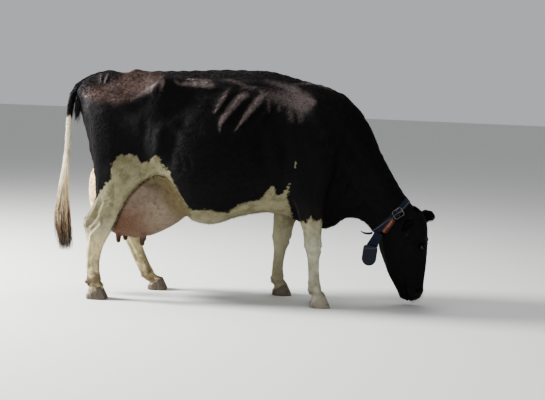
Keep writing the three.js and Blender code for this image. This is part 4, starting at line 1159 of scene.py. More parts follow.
def coat_colour(f):
    """The colour of the coat, and 1 where it is pale, from the values that were left on the points."""
    where = f.place("rest_place")
    strands = f.noise(f.turned(where, (0, 40, 0), (26, 170, 170)), 1.0, 3.0)
    frayed = f.maths("ADD", f.swing(strands, 0.036), f.swing(f.noise(where, 46.0, 3.0), 0.046))
    is_pale = f.spanned(f.maths("ADD", f.value("pale"), frayed), -0.001, 0.001)
    ragged = f.maths("ADD", f.swing(strands, 2.2), f.swing(f.noise(where, 34.0, 3.0), 0.9))
    patchy = f.noise(where, 5.5, 4.0)
    brown = f.times(f.value("bloom"), f.spanned(patchy, 0.25, 0.6, 0.55, 1.0))
    dark = f.blend(f.times(brown, f.spanned(strands, 0.3, 0.65, 0.55, 1.0)), BLACK, BROWN)
    # painted highlight: the grey gleam on the ridges, over bleached hair
    gleam = f.spanned(f.maths("ADD", f.value("gleam"), f.times(ragged, 0.30)), 0.18, 1.05)
    gleam = f.times(gleam, f.spanned(f.value("gleam"), 0.0, 0.15), f.spanned(strands, 0.32, 0.62, 0.50, 1.0))
    dark = f.blend(gleam, dark, GREY)
    specks = f.spanned(f.noise(where, 120.0, 2.0), 0.68, 0.74)
    specks = f.times(specks, f.spanned(f.noise(where, 14.0), 0.5, 0.6), f.value("bloom"), f.value("bloom"))
    dark = f.blend(specks, dark, DUST)
    light = f.blend(f.spanned(patchy, 0.35, 0.65), CREAM, WHITE)
    stains = f.spanned(f.noise(where, 16.0, 5.0), 0.42, 0.68)
    light = f.blend(f.times(stains, 0.75), light, STRAW)
    along, _, height = f.xyz(where)
    # painted shade: the whites are darker from 0.4 m up
    light = f.blend(f.spanned(height, 0.40, 0.60), light, WHITE_LEFT_IN_SHADE, "MULTIPLY")
    # painted light on the cannons: sunlit white behind, cool shaded white in front
    cannon = f.blend(f.spanned(along, -0.2, 0.1), SUNLIT_HIND_WHITE, CREAM)
    cannon = f.blend(f.spanned(along, 0.31, 0.38), cannon, SHADED_FORE_WHITE)
    over_floor = f.maths("SUBTRACT", height, f.spanned(along, -0.2, 0.1, 0.0, 0.08))
    clean = f.times(f.spanned(over_floor, 0.48, 0.28, 0.0, 0.85), f.spanned(stains, 0.0, 1.0, 1.0, 0.55))
    light = f.blend(clean, light, cannon)
    # painted sunlight: the palest coat takes the bright TAIL_WHITE
    light = f.blend(f.spanned(f.value("pale"), 0.21, 0.27), light, TAIL_WHITE)
    # dirt stains, and painted shade in the hollows of the hock
    soiled_and_shaded = f.times(f.value("dirt"), f.spanned(f.noise(where, 24.0, 5.0), 0.3, 0.6, 0.35, 1.0), 0.8)
    return f.blend(soiled_and_shaded, f.blend(is_pale, dark, light), STAIN_AND_HOLLOW_SHADE), is_pale


# %% The finish of the hide
def udder_colour(f):
    where = f.place("rest_place")
    apart = f.node("ShaderNodeVectorMath", {0: f.turned(where, stretch=(1, 0, 1)), 1: UDDER_REDDEST},
                   operation="DISTANCE").outputs["Value"]
    mottled = f.noise(where, 11.0, 5.0)
    red = f.spanned(f.maths("ADD", apart, f.swing(mottled, 0.16)), 0.30, 0.05)
    skin = f.blend(red, UDDER_SKIN, UDDER_RED)
    straw = f.spanned(f.maths("ADD", apart, f.swing(mottled, 0.20)), 0.30, 0.44)
    skin = f.blend(f.times(straw, 0.9), skin, UDDER_STRAW)
    along, _, height = f.xyz(where)
    skin = f.blend(f.spanned(along, -0.90, -0.97), skin, UDDER_CREAM)
    veins = f.spanned(f.noise(where, 15.0, 3.0, distortion=1.2), 0.50, 0.53)
    veins = f.times(veins, f.spanned(f.noise(where, 15.0, 3.0, distortion=1.2), 0.57, 0.54))
    skin = f.blend(f.times(veins, 0.45), skin, UDDER_RED)
    blotches = f.spanned(f.noise(where, 32.0, 5.0), 0.50, 0.72)
    skin = f.blend(f.times(blotches, 0.45), skin, UDDER_BLOTCH)
    teats = f.spanned(height, 0.400, 0.372)
    return f.blend(f.maths("MAXIMUM", f.value("fold_shade"), f.times(teats, 0.8)), skin, UDDER_DARK)


f = Finish("hide")
colour, is_pale = coat_colour(f)
where = f.place("rest_place")
colour = f.blend(f.spanned(f.value("udder"), 0.35, 0.65), colour, udder_colour(f))
colour = f.blend(f.value("naked"), colour, (0.010, 0.009, 0.010))
hair_on_trunk = f.noise(f.turned(where, (0, 40, 0), (90, 420, 420)), 1.0, 2.0)
hair_on_legs = f.noise(f.turned(where, (0, 0, 0), (420, 420, 90)), 1.0, 2.0)
grain = f.between(f.value("upright"), hair_on_trunk, hair_on_legs)
grain = f.between(f.value("naked"), grain, f.cells(where, 420.0))
locks = f.noise(f.turned(where, (0, 40, 0), (18, 60, 60)), 1.0, 3.0)
relief = f.bump(grain, 0.8 * MM, 0.7, f.bump(locks, 2.5 * MM, 0.5))
rough = f.between(is_pale, f.spanned(f.value("naked"), 0.0, 1.0, 0.66, 0.34), 0.80)
f.set(Base_Color=colour, Roughness=rough, Normal=relief, Specular_IOR_Level=0.12)
finished(hide, f, "coat_dark", *FLESH)

# %% [markdown]
# ### A flat map of the skin
# The finishes can be baked to pictures only over a flat map. Smart projection cuts the hide where
# it turns and lays the pieces out flat. Each tuft then borrows the place of its own root on it.

# %% Unwrap the hide
def unwrapped(piece):
    """The place of each triangle's corners on a new flat map of the piece."""
    piece.data.uv_layers.new(name="OFBake")
    bpy.context.view_layer.objects.active = piece
    bpy.ops.object.select_all(action="DESELECT")
    piece.select_set(True)
    bpy.ops.object.mode_set(mode="EDIT")
    bpy.ops.mesh.select_all(action="SELECT")
    bpy.ops.uv.smart_project(angle_limit=math.radians(66), island_margin=0.001)
    bpy.ops.object.mode_set(mode="OBJECT")
    flat = np.empty(len(piece.data.loops) * 2, np.float32)
    piece.data.uv_layers["OFBake"].uv.foreach_get("vector", flat)
    return flat.reshape(-1, 3, 2).astype(float)


hide_map = unwrapped(hide)
mesh = hide.data
corners = np.empty(len(mesh.loops), np.int32)
mesh.loops.foreach_get("vertex_index", corners)
corners = corners.reshape(-1, 3)
print("flat map of", len(hide_map), "triangles")

# %% [markdown]
# ### The lie of the coat
# Hair points away from the cold and wet: backwards and down on the body, up the bent neck towards
# the withers, down the legs, outwards from the whorl between the eyes, and to the tips of the ears.
# The way is set for each part, run together at the borders, and laid flat on the skin.

# %% The way each point's hair lies
def lie_of_coat(points, normals, edges, part):
    x, y, z = points.T
    way = np.tile([-0.75, 0.0, -0.66], (len(points), 1))
    whorl, ear_root = on_head(1.19, 0, 0.45), np.array([1.05, 0, 0.61])
    limb = among(part, "leg", "claw")
    ways = [(among(part, "neck"), [-0.62, 0, 0.50]), (among(part, "udder", "teat"), [-0.3, 0, -0.95]),
            (limb * (z > 0.7), [-0.40, 0, -0.92]), (limb * (z <= 0.7), [-0.08, 0, -1.0]),
            (among(part, "tail"), [-0.2, 0, -1.0]),
            (among(part, "head", "eye"), unit(points - whorl)), (among(part, "ear"), unit(points - ear_root))]
    for chosen, direction in ways:
        way = np.where(chosen[:, None] > 0, direction, way)
    way = spread(way, edges, 14)
    return unit(way - np.sum(way * normals, axis=1)[:, None] * normals)


points, normals = points_of(mesh), normals_of(mesh)
way = lie_of_coat(points, normals, edges, part)
hump = -np.sum((neighbour_mean(points, edges) - points) * normals, axis=1)
ridge = fade(spread(hump, edges, 4), 0.02 * MM, 0.20 * MM)
print("ridges on", round(float((ridge > 0.5).mean()), 2), "of the hide")

# %% [markdown]
# ### The short coat
# The skin's own grain stands for most of the flat coat, and tufts are laid over it on every side.
# A tuft is three thin blades from one root. They are longest on the trunk, lift a little where the
# form bends outwards, and crowd where black meets white, so that the border is ragged. All are
# made at once as arrays, and joined into a few meshes.

# %% How long and how dense the tufts are
TUFTS = 108_000 if full else 24_000
COAT_KINDS = [  # part, tufts for each area, length, width of a blade, lift in degrees
    (("trunk",), 1.0, 17.0, 1.7, 7), (("neck",), 1.0, 17.0, 1.7, 7), (("udder",), 0.35, 9.0, 0.9, 7),
    (("leg",), 1.25, 12.0, 1.3, 6), (("claw",), 0.0, 6.0, 1.0, 6), (("head",), 1.7, 8.0, 1.1, 5),
    (("ear",), 3.0, 11.0, 1.0, 10), (("tail",), 2.4, 20.0, 1.4, 8), (("teat", "eye"), 0.0, 6.0, 1.0, 5),
]
dense, long, wide, lift = np.zeros((4, len(points)))
for starts_of_names, *numbers in COAT_KINDS:
    chosen = among(part, *starts_of_names) > 0
    for values, number in zip((dense, long, wide, lift), numbers):
        values[chosen] = number
shank = among(part, "leg") * (1 - fade(points[:, 2], 0.15, 0.75))
long, wide, lift = long - 3.0 * shank, wide - 0.3 * shank, lift + 7.0 * ridge
dense = dense * (1 - naked) * (1 + 0.9 * np.exp(-(pale / 0.012) ** 2) + 0.5 * ridge)
for side in BOTH:
    dense *= fade(np.linalg.norm(points - eye_middles[side], axis=1), 0.026, 0.034)
print("longest tufts", round(float(long.max())), "mm")


# %% Blades from roots
def on_hide(face, share, values):
    """Values of the hide's points, read at places inside its triangles."""
    return np.einsum("nk,nk...->n...", share, values[corners[face]])


def blades(roots, facing, way, length, width, lift, flat):
    """Points, triangles and flat places of three blades for each root."""
    count = len(roots)
    made, flats = [], []
    for blade in (-1, 0, 1):
        yaw = np.radians(11 * blade + chance.normal(0, 9, count))[:, None]
        side = np.cross(way, facing)
        ahead = np.cos(yaw) * way + np.sin(yaw) * side
        angle = np.radians(lift + chance.normal(0, 2.5, count))[:, None]
        size = (length * chance.uniform(0.7, 1.1, count))[:, None] * MM
        roll = np.radians(chance.normal(0, 22, count))[:, None]
        across = np.cos(roll) * np.cross(ahead, facing) + np.sin(roll) * facing
        half = width[:, None] * MM / 2
        root = roots + (blade * half + chance.normal(0, 0.5 * MM, (count, 1))) * side - 0.25 * MM * facing
        bend = root + 0.5 * size * (np.cos(angle) * ahead + np.sin(angle) * facing)
        tip = bend + 0.5 * size * (np.cos(0.1 * angle) * ahead + np.sin(0.1 * angle) * facing)
        made += [root - 0.7 * half * across, root + 0.7 * half * across, bend - half * across,
                 bend + half * across, tip]
        flats += [flat + 0.0014 * np.array(spot) for spot in ((-1, -1), (1, -1), (-1, 0.2), (1, 0.2), (0, 1))]
    points = np.stack(made, 1).reshape(-1, 3)
    one = np.array([(0, 1, 3), (0, 3, 2), (2, 3, 4)])
    tuft = np.concatenate([one, one + 5, one + 10])
    faces = (np.arange(count)[:, None, None] * 15 + tuft).reshape(-1, 3)
    return points, faces, np.stack(flats, 1).reshape(-1, 2)


def put_map(mesh, flat, faces):
    layer = mesh.uv_layers.new(name="OFBake")
    layer.uv.foreach_set("vector", flat[faces.ravel()].astype(np.float32).ravel())


# %% Scatter the roots and make the coat
triangles = points[corners]
area = np.linalg.norm(np.cross(triangles[:, 1] - triangles[:, 0], triangles[:, 2] - triangles[:, 0]), axis=1)
weight = area * dense[corners].mean(1)
face = np.sort(chance.choice(len(corners), TUFTS, p=weight / weight.sum()))
share = chance.dirichlet((1, 1, 1), TUFTS)
roots = on_hide(face, share, points)
order = np.argsort(roots[:, 0])
face, share, roots = face[order], share[order], roots[order]
facing, lies = unit(on_hide(face, share, normals)), on_hide(face, share, way)
lies = unit(lies - np.sum(lies * facing, axis=1)[:, None] * facing)
flat = np.einsum("nk,nkc->nc", share, hide_map[face])
HAIR_READS = ("pale", "bloom", "gleam", "dirt", "udder")  # what the finish of the coat needs to know
root_values = {name: on_hide(face, share, hide_values[name]) for name in HAIR_READS}
sizes = [on_hide(face, share, values) for values in (long, wide, lift)]
shade = np.clip(chance.normal(0.5, 0.22, TUFTS), 0, 1)

f = Finish("coat")
colour, is_pale = coat_colour(f)
colour = f.blend(f.value("udder"), colour, UDDER_STRAW)
# tuft tips turn brown or grey where the hide has bleached hair and painted light
tip_bleach_and_light = f.blend(f.maths("MAXIMUM", f.value("bloom"), f.value("gleam")), TANNED, BROWN)
tip = f.blend(is_pale, f.blend(f.value("gleam"), tip_bleach_and_light, GREY), WHITE)
colour = f.blend(f.times(f.value("along"), f.value("shade"), 0.45), colour, tip)
colour = f.blend(f.spanned(f.value("shade"), 0.45, 0.0, 0.0, 0.35), colour, (0.004, 0.0035, 0.003))
f.set(Base_Color=colour, Roughness=f.between(is_pale, 0.62, 0.74), Specular_IOR_Level=0.14)
COAT_PIECES = 6
for number, rows in enumerate(np.array_split(np.arange(TUFTS), COAT_PIECES), 1):
    blade_points, faces, blade_flat = blades(roots[rows], facing[rows], lies[rows],
                                             *(size[rows] for size in sizes), flat[rows])
    coat = add_object(f"coat_{number}", mesh_from(f"coat_{number}", blade_points, faces))
    for name, values in root_values.items():
        put_values(coat.data, name, np.repeat(values[rows], 15))
    put_values(coat.data, "shade", np.repeat(shade[rows], 15))
    put_values(coat.data, "along", np.tile([0, 0, 0.5, 0.5, 1.0], 3 * len(rows)))
    put_values(coat.data, "rest_place", np.repeat(roots[rows], 15, axis=0))
    put_map(coat.data, blade_flat, faces)
    finished(coat, f, "coat_dark")
print(TUFTS, "tufts in", COAT_PIECES, "pieces of", len(faces), "triangles")
coat_finish = f

# %% [markdown]
# ### Long hair
# Hair is long on the ears, the poll, the brisket and belly, over the hooves and on the tail. A
# strand is a thin three-sided tube along a bending line. Curves would be simpler, but meshes keep
# their shape in any other program.

# %% Strands along many lines at once
def strands(lines, thick, sides=3):
    """Points and triangles of tapering tubes, closed at the root and drawn to a point at the tip."""
    count, steps = lines.shape[:2]
    ahead = unit(np.gradient(lines, axis=1))
    guide = np.where(np.abs(ahead[:, :1, 2:3]) < 0.8, [0.0, 0.0, 1.0], [0.0, 1.0, 0.0])
    side = unit(np.cross(ahead, np.broadcast_to(guide, ahead.shape)))
    over = np.cross(side, ahead)
    turn = (np.arange(sides) * 2 * math.pi / sides)[:, None]
    ring = side[:, :, None] * np.cos(turn) + over[:, :, None] * np.sin(turn)
    body = (lines[:, :, None] + thick[:, :, None, None] * ring)[:, :-1].reshape(count, -1, 3)
    points = np.concatenate([body, lines[:, -1:]], axis=1)
    one = [(0, 1, 2)]
    for k in range(sides * (steps - 2)):
        beside = k + 1 if (k + 1) % sides else k + 1 - sides
        one += [(k, k + sides, beside + sides), (k, beside + sides, beside)]
    last = sides * (steps - 2)
    one += [(last + k, sides * (steps - 1), last + (k + 1) % sides) for k in range(sides)]
    faces = np.arange(count)[:, None, None] * points.shape[1] + np.array(one)
    return points.reshape(-1, 3), faces.reshape(-1, 3)


def strand_share(steps, sides=3):
    """How far along its strand each point lies, for one strand."""
    return np.append(np.repeat(np.arange(steps - 1), sides), steps - 1) / (steps - 1)


def tapered(thick, count, steps):
    """Half the thickness along hairs that end in a point, from that of the root in millimetres."""
    return thick * MM * np.sqrt(1 - (np.arange(steps) / (steps - 1)) ** 2) * np.ones((count, 1))


def hair_piece(name, lines, thick, root_face, root_share, values, finish, slot):
    """A piece of long hair. Each strand keeps the values and the flat place of its root."""
    count, steps = lines.shape[:2]
    points, faces = strands(lines, thick)
    along = strand_share(steps)
    piece = add_object(name, mesh_from(name, points, faces))
    for key, number in values.items():
        put_values(piece.data, key, np.repeat(number, len(along), axis=0))
    put_values(piece.data, "along", np.tile(along, count))
    spot = np.repeat(np.einsum("nk,nkc->nc", root_share, hide_map[root_face]), len(along), axis=0)
    across = np.tile(np.append(np.tile([-1, 0, 1], steps - 1), 0), count)
    put_map(piece.data, spot + 0.0014 * np.stack([across, np.tile(2 * along - 1, count)], 1), faces)
    finished(piece, finish, slot)
    return piece


# %% Hair that grows in patches
FALL = np.array([0.0, 0.0, -1.0])


def hair_patch(name, weight, count, length, thick, way, droop, steps=5):
    """Strands from places on the hide. The way mixes the lie of the coat, the way out and a
    direction, and the droop bends each strand down as it grows."""
    count = count if full else count // 4
    odds = area * weight[corners].mean(1)
    face = chance.choice(len(corners), count, p=odds / odds.sum())
    share = chance.dirichlet((1, 1, 1), count)
    spot, facing = on_hide(face, share, points), unit(on_hide(face, share, normals))
    lie, out, direction = way
    heading = lie * on_hide(face, share, hide_way) + out * facing + np.array(direction)
    heading = unit(heading + chance.normal(0, 0.16, (count, 3)))
    step = (length * chance.uniform(0.55, 1.1, count) * MM / (steps - 1))[:, None]
    line = [spot - 0.6 * MM * facing]
    for k in range(steps - 1):
        line.append(line[-1] + step * heading)
        heading = unit(heading + droop * FALL + chance.normal(0, 0.05, (count, 3)))
    lines = np.stack(line, 1)
    radius = tapered(thick, count, steps)
    values = {key: on_hide(face, share, hide_values[key]) for key in HAIR_READS}
    values |= {"rest_place": spot, "shade": np.clip(chance.normal(0.55, 0.2, count), 0, 1)}
    hair_piece(name, lines, radius, face, share, values, coat_finish, "coat_dark")


hide_way = way
x, y, z = points.T
on_ear = among(part, "ear")
lower_rim = on_ear * fade(-normals[:, 2], 0.1, 0.7)
ear_out = np.hypot(x - 1.05, y) * on_ear
lower_rim *= 1 + 3 * fade(ear_out, 0.15, 0.21)
hair_patch("ear_fringe", lower_rim, 3200, 27, 0.45, (0.55, 0.20, (0.1, 0, -0.5)), 0.24)
hair_patch("ear_edge", on_ear, 2800, 15, 0.40, (0.9, 0.35, (0, 0, 0)), 0.10)
poll = among(part, "head") * (1 - fade(np.linalg.norm(points - on_head(1.10, 0, 0.66), axis=1), 0.03, 0.075))
hair_patch("poll_tuft", poll, 700, 15, 0.40, (0.8, 0.35, (0.3, 0, 0)), 0.18)
brisket = among(part, "trunk", "neck") * fade(-normals[:, 2], 0.3, 0.8) * (x > 0.28)
hair_patch("brisket_hair", brisket + 1e-9, 1300, 24, 0.40, (0.6, 0.25, (0, 0, 0)), 0.20)
under = among(part, "trunk") * fade(-normals[:, 2], 0.75, 0.95) * (x < 0.28) * (x > -0.45)
hair_patch("belly_hair", under + 1e-9, 1400, 22, 0.40, (0.6, 0.3, (0, 0, 0)), 0.20)
coronet = among(part, "leg", "claw") * np.exp(-((z - 0.098) / 0.010) ** 2)
hair_patch("coronet_hair", coronet, 2600, 15, 0.40, (0.9, 0.35, (0, 0, 0)), 0.15)
hair_patch("udder_hair", udder * fade(z, 0.36, 0.5), 2400, 11, 0.22, (0.8, 0.35, (0, 0, 0)), 0.20)
dock_edge = among(part, "tail_dock", "tail_shaft") * (z > 0.86)
hair_patch("tail_edge_hair", dock_edge, 2600, 30, 0.45, (0.9, 0.16, (0, 0, 0)), 0.12)
under_tail = np.exp(-np.sum(((points - (-1.105, -0.03, 1.255)) / (0.030, 0.035, 0.035)) ** 2, axis=1))
under_tail *= among(part, "trunk", "tail_dock")
hair_patch("strand_under_tail", under_tail + 1e-9, 420, 120, 0.6, (0.1, 0.15, (-0.25, 0, -1.0)), 0.5, steps=7)
whiskered = among(part, "head") * naked * fade(-normals[:, 2], -0.2, 0.6)
hair_patch("whiskers", whiskered + 1e-9, 120, 30, 0.22, (0.2, 1.0, (0, 0, -0.2)), 0.10)
print("long hair grown")

# %% [markdown]
# ### The switch
# The tail ends in a switch of long coarse hair, clean cream at its top, brown and clotted lower
# down where it sweeps the flanks, and ragged at the tip. Each lock leaves the tail at its own
# height and falls inside the outline that the solids give, with a slight wave.

# %% Locks of the switch
LOCKS, LOCK_STEPS = (1500 if full else 400), 13
tail_rows = rings_of("tail_shaft", "tail_switch")
TAIL_BODY, LOCK_LOW = 0.80, 0.262


def tail_middle(z):
    return [np.interp(z, tail_rows[:, 0], tail_rows[:, k]) for k in (1, 2, 3, 4)]


start = chance.uniform(0.46, 0.93, LOCKS)
end = np.where(chance.random(LOCKS) < 0.45, LOCK_LOW + chance.exponential(0.03, LOCKS),
               chance.uniform(0.31, 0.62, LOCKS))
end = np.clip(np.minimum(end, start - 0.12), LOCK_LOW, None)
share = np.linspace(0, 1, LOCK_STEPS)[None]
height = start[:, None] + (end - start)[:, None] * share
root_reach = np.where(start > TAIL_BODY, 0.98, chance.uniform(0.3, 0.9, LOCKS))[:, None]
tip_reach = chance.uniform(0.15, 1.12, LOCKS)[:, None] ** 0.6
reach = root_reach + (tip_reach - root_reach) * fade(TAIL_BODY - height, 0.0, 0.22)
spin = chance.uniform(0, 2 * math.pi, LOCKS)[:, None] + chance.normal(0, 0.5, LOCKS)[:, None] * share
middle_x, middle_y, half_x, half_y = tail_middle(height)
middle_x = middle_x - 0.010 * fade(0.42 - height, 0.0, 0.12)
half_x = np.maximum(half_x, chance.uniform(22, 55, (LOCKS, 1)) * MM * fade(0.50 - height, 0.0, 0.08))
waves = [0.0022 * share * np.sin(chance.uniform(5, 14, (LOCKS, 1)) * share
                                 + chance.uniform(0, 6.3, (LOCKS, 1))) for _ in range(2)]
lines = np.stack([middle_x + half_x * reach * np.cos(spin) + waves[0],
                  middle_y + half_y * reach * np.sin(spin) + waves[1], height], axis=2)
radius = chance.uniform(0.8, 1.5, (LOCKS, 1)) * MM * (1 - share ** 2.5) + 0.1 * MM
found = [hide_tree.find_nearest(Vector(line[0])) for line in lines]
root_face = np.array([index for _, _, index, _ in found])
root_share = np.full((LOCKS, 3), 1 / 3)

f = Finish("switch_hair")
where = f.place()
ahead, _, height = f.xyz(where)
streak = f.noise(f.turned(where, stretch=(110, 110, 7)), 1.0, 3.0)
level = f.maths("ADD", height, f.swing(f.value("shade"), 0.26))
level = f.maths("ADD", level, f.swing(streak, 0.36))
level = f.maths("SUBTRACT", level, f.maths("ADD", ahead, 1.20))  # darker on the side next to the legs
hair = f.blend(f.spanned(streak, 0.35, 0.65), (0.66, 0.57, 0.38), (0.90, 0.85, 0.66))
hair = f.blend(f.spanned(level, 0.63, 0.50), hair, (0.31, 0.195, 0.13))
hair = f.blend(f.spanned(level, 0.50, 0.36), hair, (0.040, 0.027, 0.020))
bleached = f.times(f.spanned(f.value("shade"), 0.84, 0.90), 0.75)  # odd pale locks down to the tip
hair = f.blend(bleached, hair, (0.60, 0.52, 0.36))
f.set(Base_Color=hair, Roughness=0.6, Specular_IOR_Level=0.25)
switch = hair_piece("switch", lines, radius, root_face, root_share, {"shade": chance.random(LOCKS)},
                    f, "coat_pale")
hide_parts("tail_switch")
print("switch of", len(switch.data.polygons), "triangles")

# %% [markdown]
# ## Eyes
# A cow's eyeball is about 40 mm across, with a clear bulge in front, a dark brown iris and a pupil
# like a letter box that lies level. The ball is turned on the axis that the lids were folded round.

# %% Eyeballs
IRIS, BULGE = 0.72, 1.1 * MM
RINGS, SPOKES = 26, 40


def eyeball(side):
    middle, out, along, up = eye_looks[side]
    level = unit(np.cross(out, (0, 0, 1)))
    upright = np.cross(level, out)
    angle = np.linspace(0, math.pi, RINGS)[1:-1]
    spin = np.linspace(0, 2 * math.pi, SPOKES, endpoint=False)
    a, s = np.meshgrid(angle, spin, indexing="ij")
    radius = BALL + BULGE * (1 - fade(a, 0.25, IRIS))
    flat = np.stack([radius * np.sin(a) * np.cos(s), radius * np.sin(a) * np.sin(s), radius * np.cos(a)], -1)
    flat = np.vstack([flat.reshape(-1, 3), [0, 0, BALL + BULGE], [0, 0, -BALL]])
    points = middle + flat @ np.array([level, upright, out])
    faces = []
    for ring in range(len(angle) - 1):
        for k in range(SPOKES):
            here, there = ring * SPOKES + k, ring * SPOKES + (k + 1) % SPOKES
            faces += [(here, here + SPOKES, there + SPOKES), (here, there + SPOKES, there)]
    last = (len(angle) - 1) * SPOKES
    faces += [(len(points) - 2, k, (k + 1) % SPOKES) for k in range(SPOKES)]
    faces += [(last + k, len(points) - 1, last + (k + 1) % SPOKES) for k in range(SPOKES)]
    name = "eyeball_right" if side == RIGHT else "eyeball_left"
    mesh = mesh_from(name, points, faces)
    put_values(mesh, "eye_place", flat / BALL)
    return add_object(name, mesh)


f = Finish("wet_eye")
where = f.place("eye_place")
across, upward, _ = f.xyz(where)
across, upward = f.times(across, across), f.times(upward, upward)  # squares of the two
rim_of_iris = f.maths("POWER", f.maths("ADD", across, upward), 0.5)
pupil = f.maths("ADD", f.times(across, 6.0), f.times(upward, 26.0))
rays = f.noise(f.turned(where, (0, 0, 0), (9, 9, 2)), 2.0, 4.0)
iris = f.blend(rays, (0.010, 0.0055, 0.0035), (0.026, 0.013, 0.007))
iris = f.blend(f.spanned(pupil, 0.85, 1.15), (0.004, 0.005, 0.009), iris)
white = f.blend(f.noise(where, 5.0, 5.0), (0.014, 0.009, 0.007), (0.040, 0.027, 0.022))
colour = f.blend(f.spanned(rim_of_iris, 0.82, 0.92), iris, white)
f.set(Base_Color=colour, Roughness=f.spanned(f.noise(where, 30.0), 0.3, 0.7, 0.03, 0.07),
      Coat_Weight=0.5, Coat_Roughness=0.02, IOR=1.36)
for side, node in ((RIGHT, "eye_right"), (LEFT, "eye_left")):
    ball = eyeball(side)
    finished(ball, f, "eye", node)
print("eyeballs of", len(ball.data.polygons), "faces")

# %% [markdown]
# Long lashes stand out and down from the upper lid, and short ones from the lower. They grow from
# the rim of each lid, so their roots follow the same almond as the lids.

# %% Lashes
LASH_STEPS = 7
for side in BOTH:
    middle, out, along, up = eye_looks[side]
    lines = []
    for lid, count, longest in ((1, 110, 19), (-1, 60, 9)):
        tall = ALMOND_UP if lid > 0 else ALMOND_DOWN
        for u in chance.uniform(-0.88, 0.92, count):
            v = lid * tall * (1 - u * u) ** 0.75 + lid * chance.uniform(0.4, 2.2) * MM
            w = math.sqrt((BALL + 0.6 * LID) ** 2 - (u * ALMOND_LONG) ** 2 - v * v)
            heading = unit(out + 0.45 * lid * up + 0.5 * u * along + chance.normal(0, 0.10, 3))
            line = [middle + u * ALMOND_LONG * along + v * up + w * out]
            step = longest * (1 - 0.55 * u * u) * chance.uniform(0.7, 1.05) * MM / (LASH_STEPS - 1)
            for k in range(LASH_STEPS - 1):
                line.append(line[-1] + step * heading)
                heading = unit(heading + (0.10 if lid > 0 else 0.04) * FALL - 0.05 * lid * up)
            lines.append(line)
    lines, count = np.array(lines), len(lines)
    radius = tapered(0.28, count, LASH_STEPS)
    root_face = np.array([hide_tree.find_nearest(Vector(line[0]))[2] for line in lines])
    values = {key: np.full(count, level) for key, level in
              (("pale", -0.2), ("bloom", 0), ("gleam", 0), ("dirt", 0), ("udder", 0), ("shade", 0.3))}
    values["rest_place"] = lines[:, 0]
    name = "lashes_right" if side == RIGHT else "lashes_left"
    hair_piece(name, lines, radius, root_face, np.full((count, 3), 1 / 3), values, coat_finish, "coat_dark")
print("lashes", count, "an eye")


# %% [markdown]
# ## Claws and dewclaws
# Cattle walk on two claws of horn. The wall grows down from the hairline in faint rings, and is
# scuffed and caked at the ground. Each foot is made from its solids by wrapping them finely,
# rounding the facets off and then pushing the rings in and out.

# %% Horn
def refined(name, nodes, voxel, rounds):
    """A smooth piece made from solids, with no facets left."""
    piece = add_object(name, mesh_from(name, *joined([solid_arrays(node) for node in nodes])))
    mesh = applied(piece, "REMESH", mode="VOXEL", voxel_size=voxel * (1 if full else 1.6))
    put_points(mesh, smoothed(points_of(mesh), edges_of(mesh), rounds))
    mesh.polygons.foreach_set("use_smooth", np.ones(len(mesh.polygons), bool))
    return piece


f = Finish("horn")
where = f.place()
ahead, _, height = f.xyz(where)
streaks = f.noise(f.turned(where, (0, 0, 0), (260, 260, 14)), 1.0, 3.0)
rings = f.wave(f.turned(where, (0, 12, 0)), 42.0, 1.6, "Z")
horn = f.blend(f.spanned(streaks, 0.3, 0.7), (0.020, 0.016, 0.012), (0.150, 0.115, 0.082))
horn = f.blend(f.times(rings, 0.45), horn, (0.20, 0.160, 0.115))
horn = f.blend(f.spanned(ahead, 0.36, 0.40, 0.0, 0.55), horn, (0.36, 0.33, 0.27))  # one foot is pale
caked = f.times(f.spanned(f.noise(where, 30.0, 6.0), 0.48, 0.66), f.spanned(height, 0.10, 0.0, 0.20, 0.85))
colour = f.blend(caked, horn, (0.120, 0.094, 0.060))
relief = f.bump(streaks, 0.6 * MM, 0.6, f.bump(rings, 0.8 * MM, 0.6, f.bump(caked, 1.2 * MM, 0.7)))
f.set(Base_Color=colour, Roughness=f.spanned(caked, 0.0, 1.0, 0.42, 0.85), Normal=relief)
CLAW_TOP, HEEL_DROP = 0.087, 0.48  # the wall is half as high at the heel as at the toe
for foot in FEET:
    nodes = [f"{kind}_{foot}_{place}" for kind in ("claw", "dewclaw") for place in ("outer", "inner")]
    piece = refined(f"claws_{foot}", nodes, 3.2 * MM, 5)
    points, normals = points_of(piece.data), normals_of(piece.data)
    wall = 1 - fade(np.abs(normals[:, 2]), 0.55, 0.85)
    tilt = points[:, 2] + 0.20 * (points[:, 0] - points[:, 0].max())
    ring = 0.8 * MM * np.sin(tilt * 2 * math.pi / 0.0105) * wall * (points[:, 2] < 0.085)
    points += ring[:, None] * normals
    low_toe, high_toe = points[points[:, 2] < CLAW_TOP, 0].min(), points[:, 0].max()
    back = fade((high_toe - points[:, 0]) / (high_toe - low_toe), 0.25, 1.0)
    points[:, 2] *= 1 - HEEL_DROP * back * (points[:, 2] < CLAW_TOP)
    points[:, 2] = np.where(points[:, 2] < 1.6 * MM, 0, points[:, 2])
    put_points(piece.data, points)
    finished(piece, f, "claw_horn", *nodes)
print("claws of", len(piece.data.polygons), "faces a foot")

# %% [markdown]
# ## The collar
# A broad band of navy webbing lies round the neck behind the ears, with a grey cord woven along
# it. It is closed by a steel buckle, carries an orange moulded sleeve, and holds a tag under the
# throat. The band follows the real neck: rays find the hide all round it in the collar's plane.

# %% The band, by rays round the neck
COLLAR_AT = np.array([0.935, 0, 0.584])
COLLAR_UP = unit([0.685, 0, 0.729])
COLLAR_AHEAD = unit([0.729, 0, -0.685])
ACROSS = np.array([0.0, 1.0, 0.0])
STRAP_WIDE, STRAP_THICK = 44 * MM, 4.6 * MM
BAND_STEPS = 180


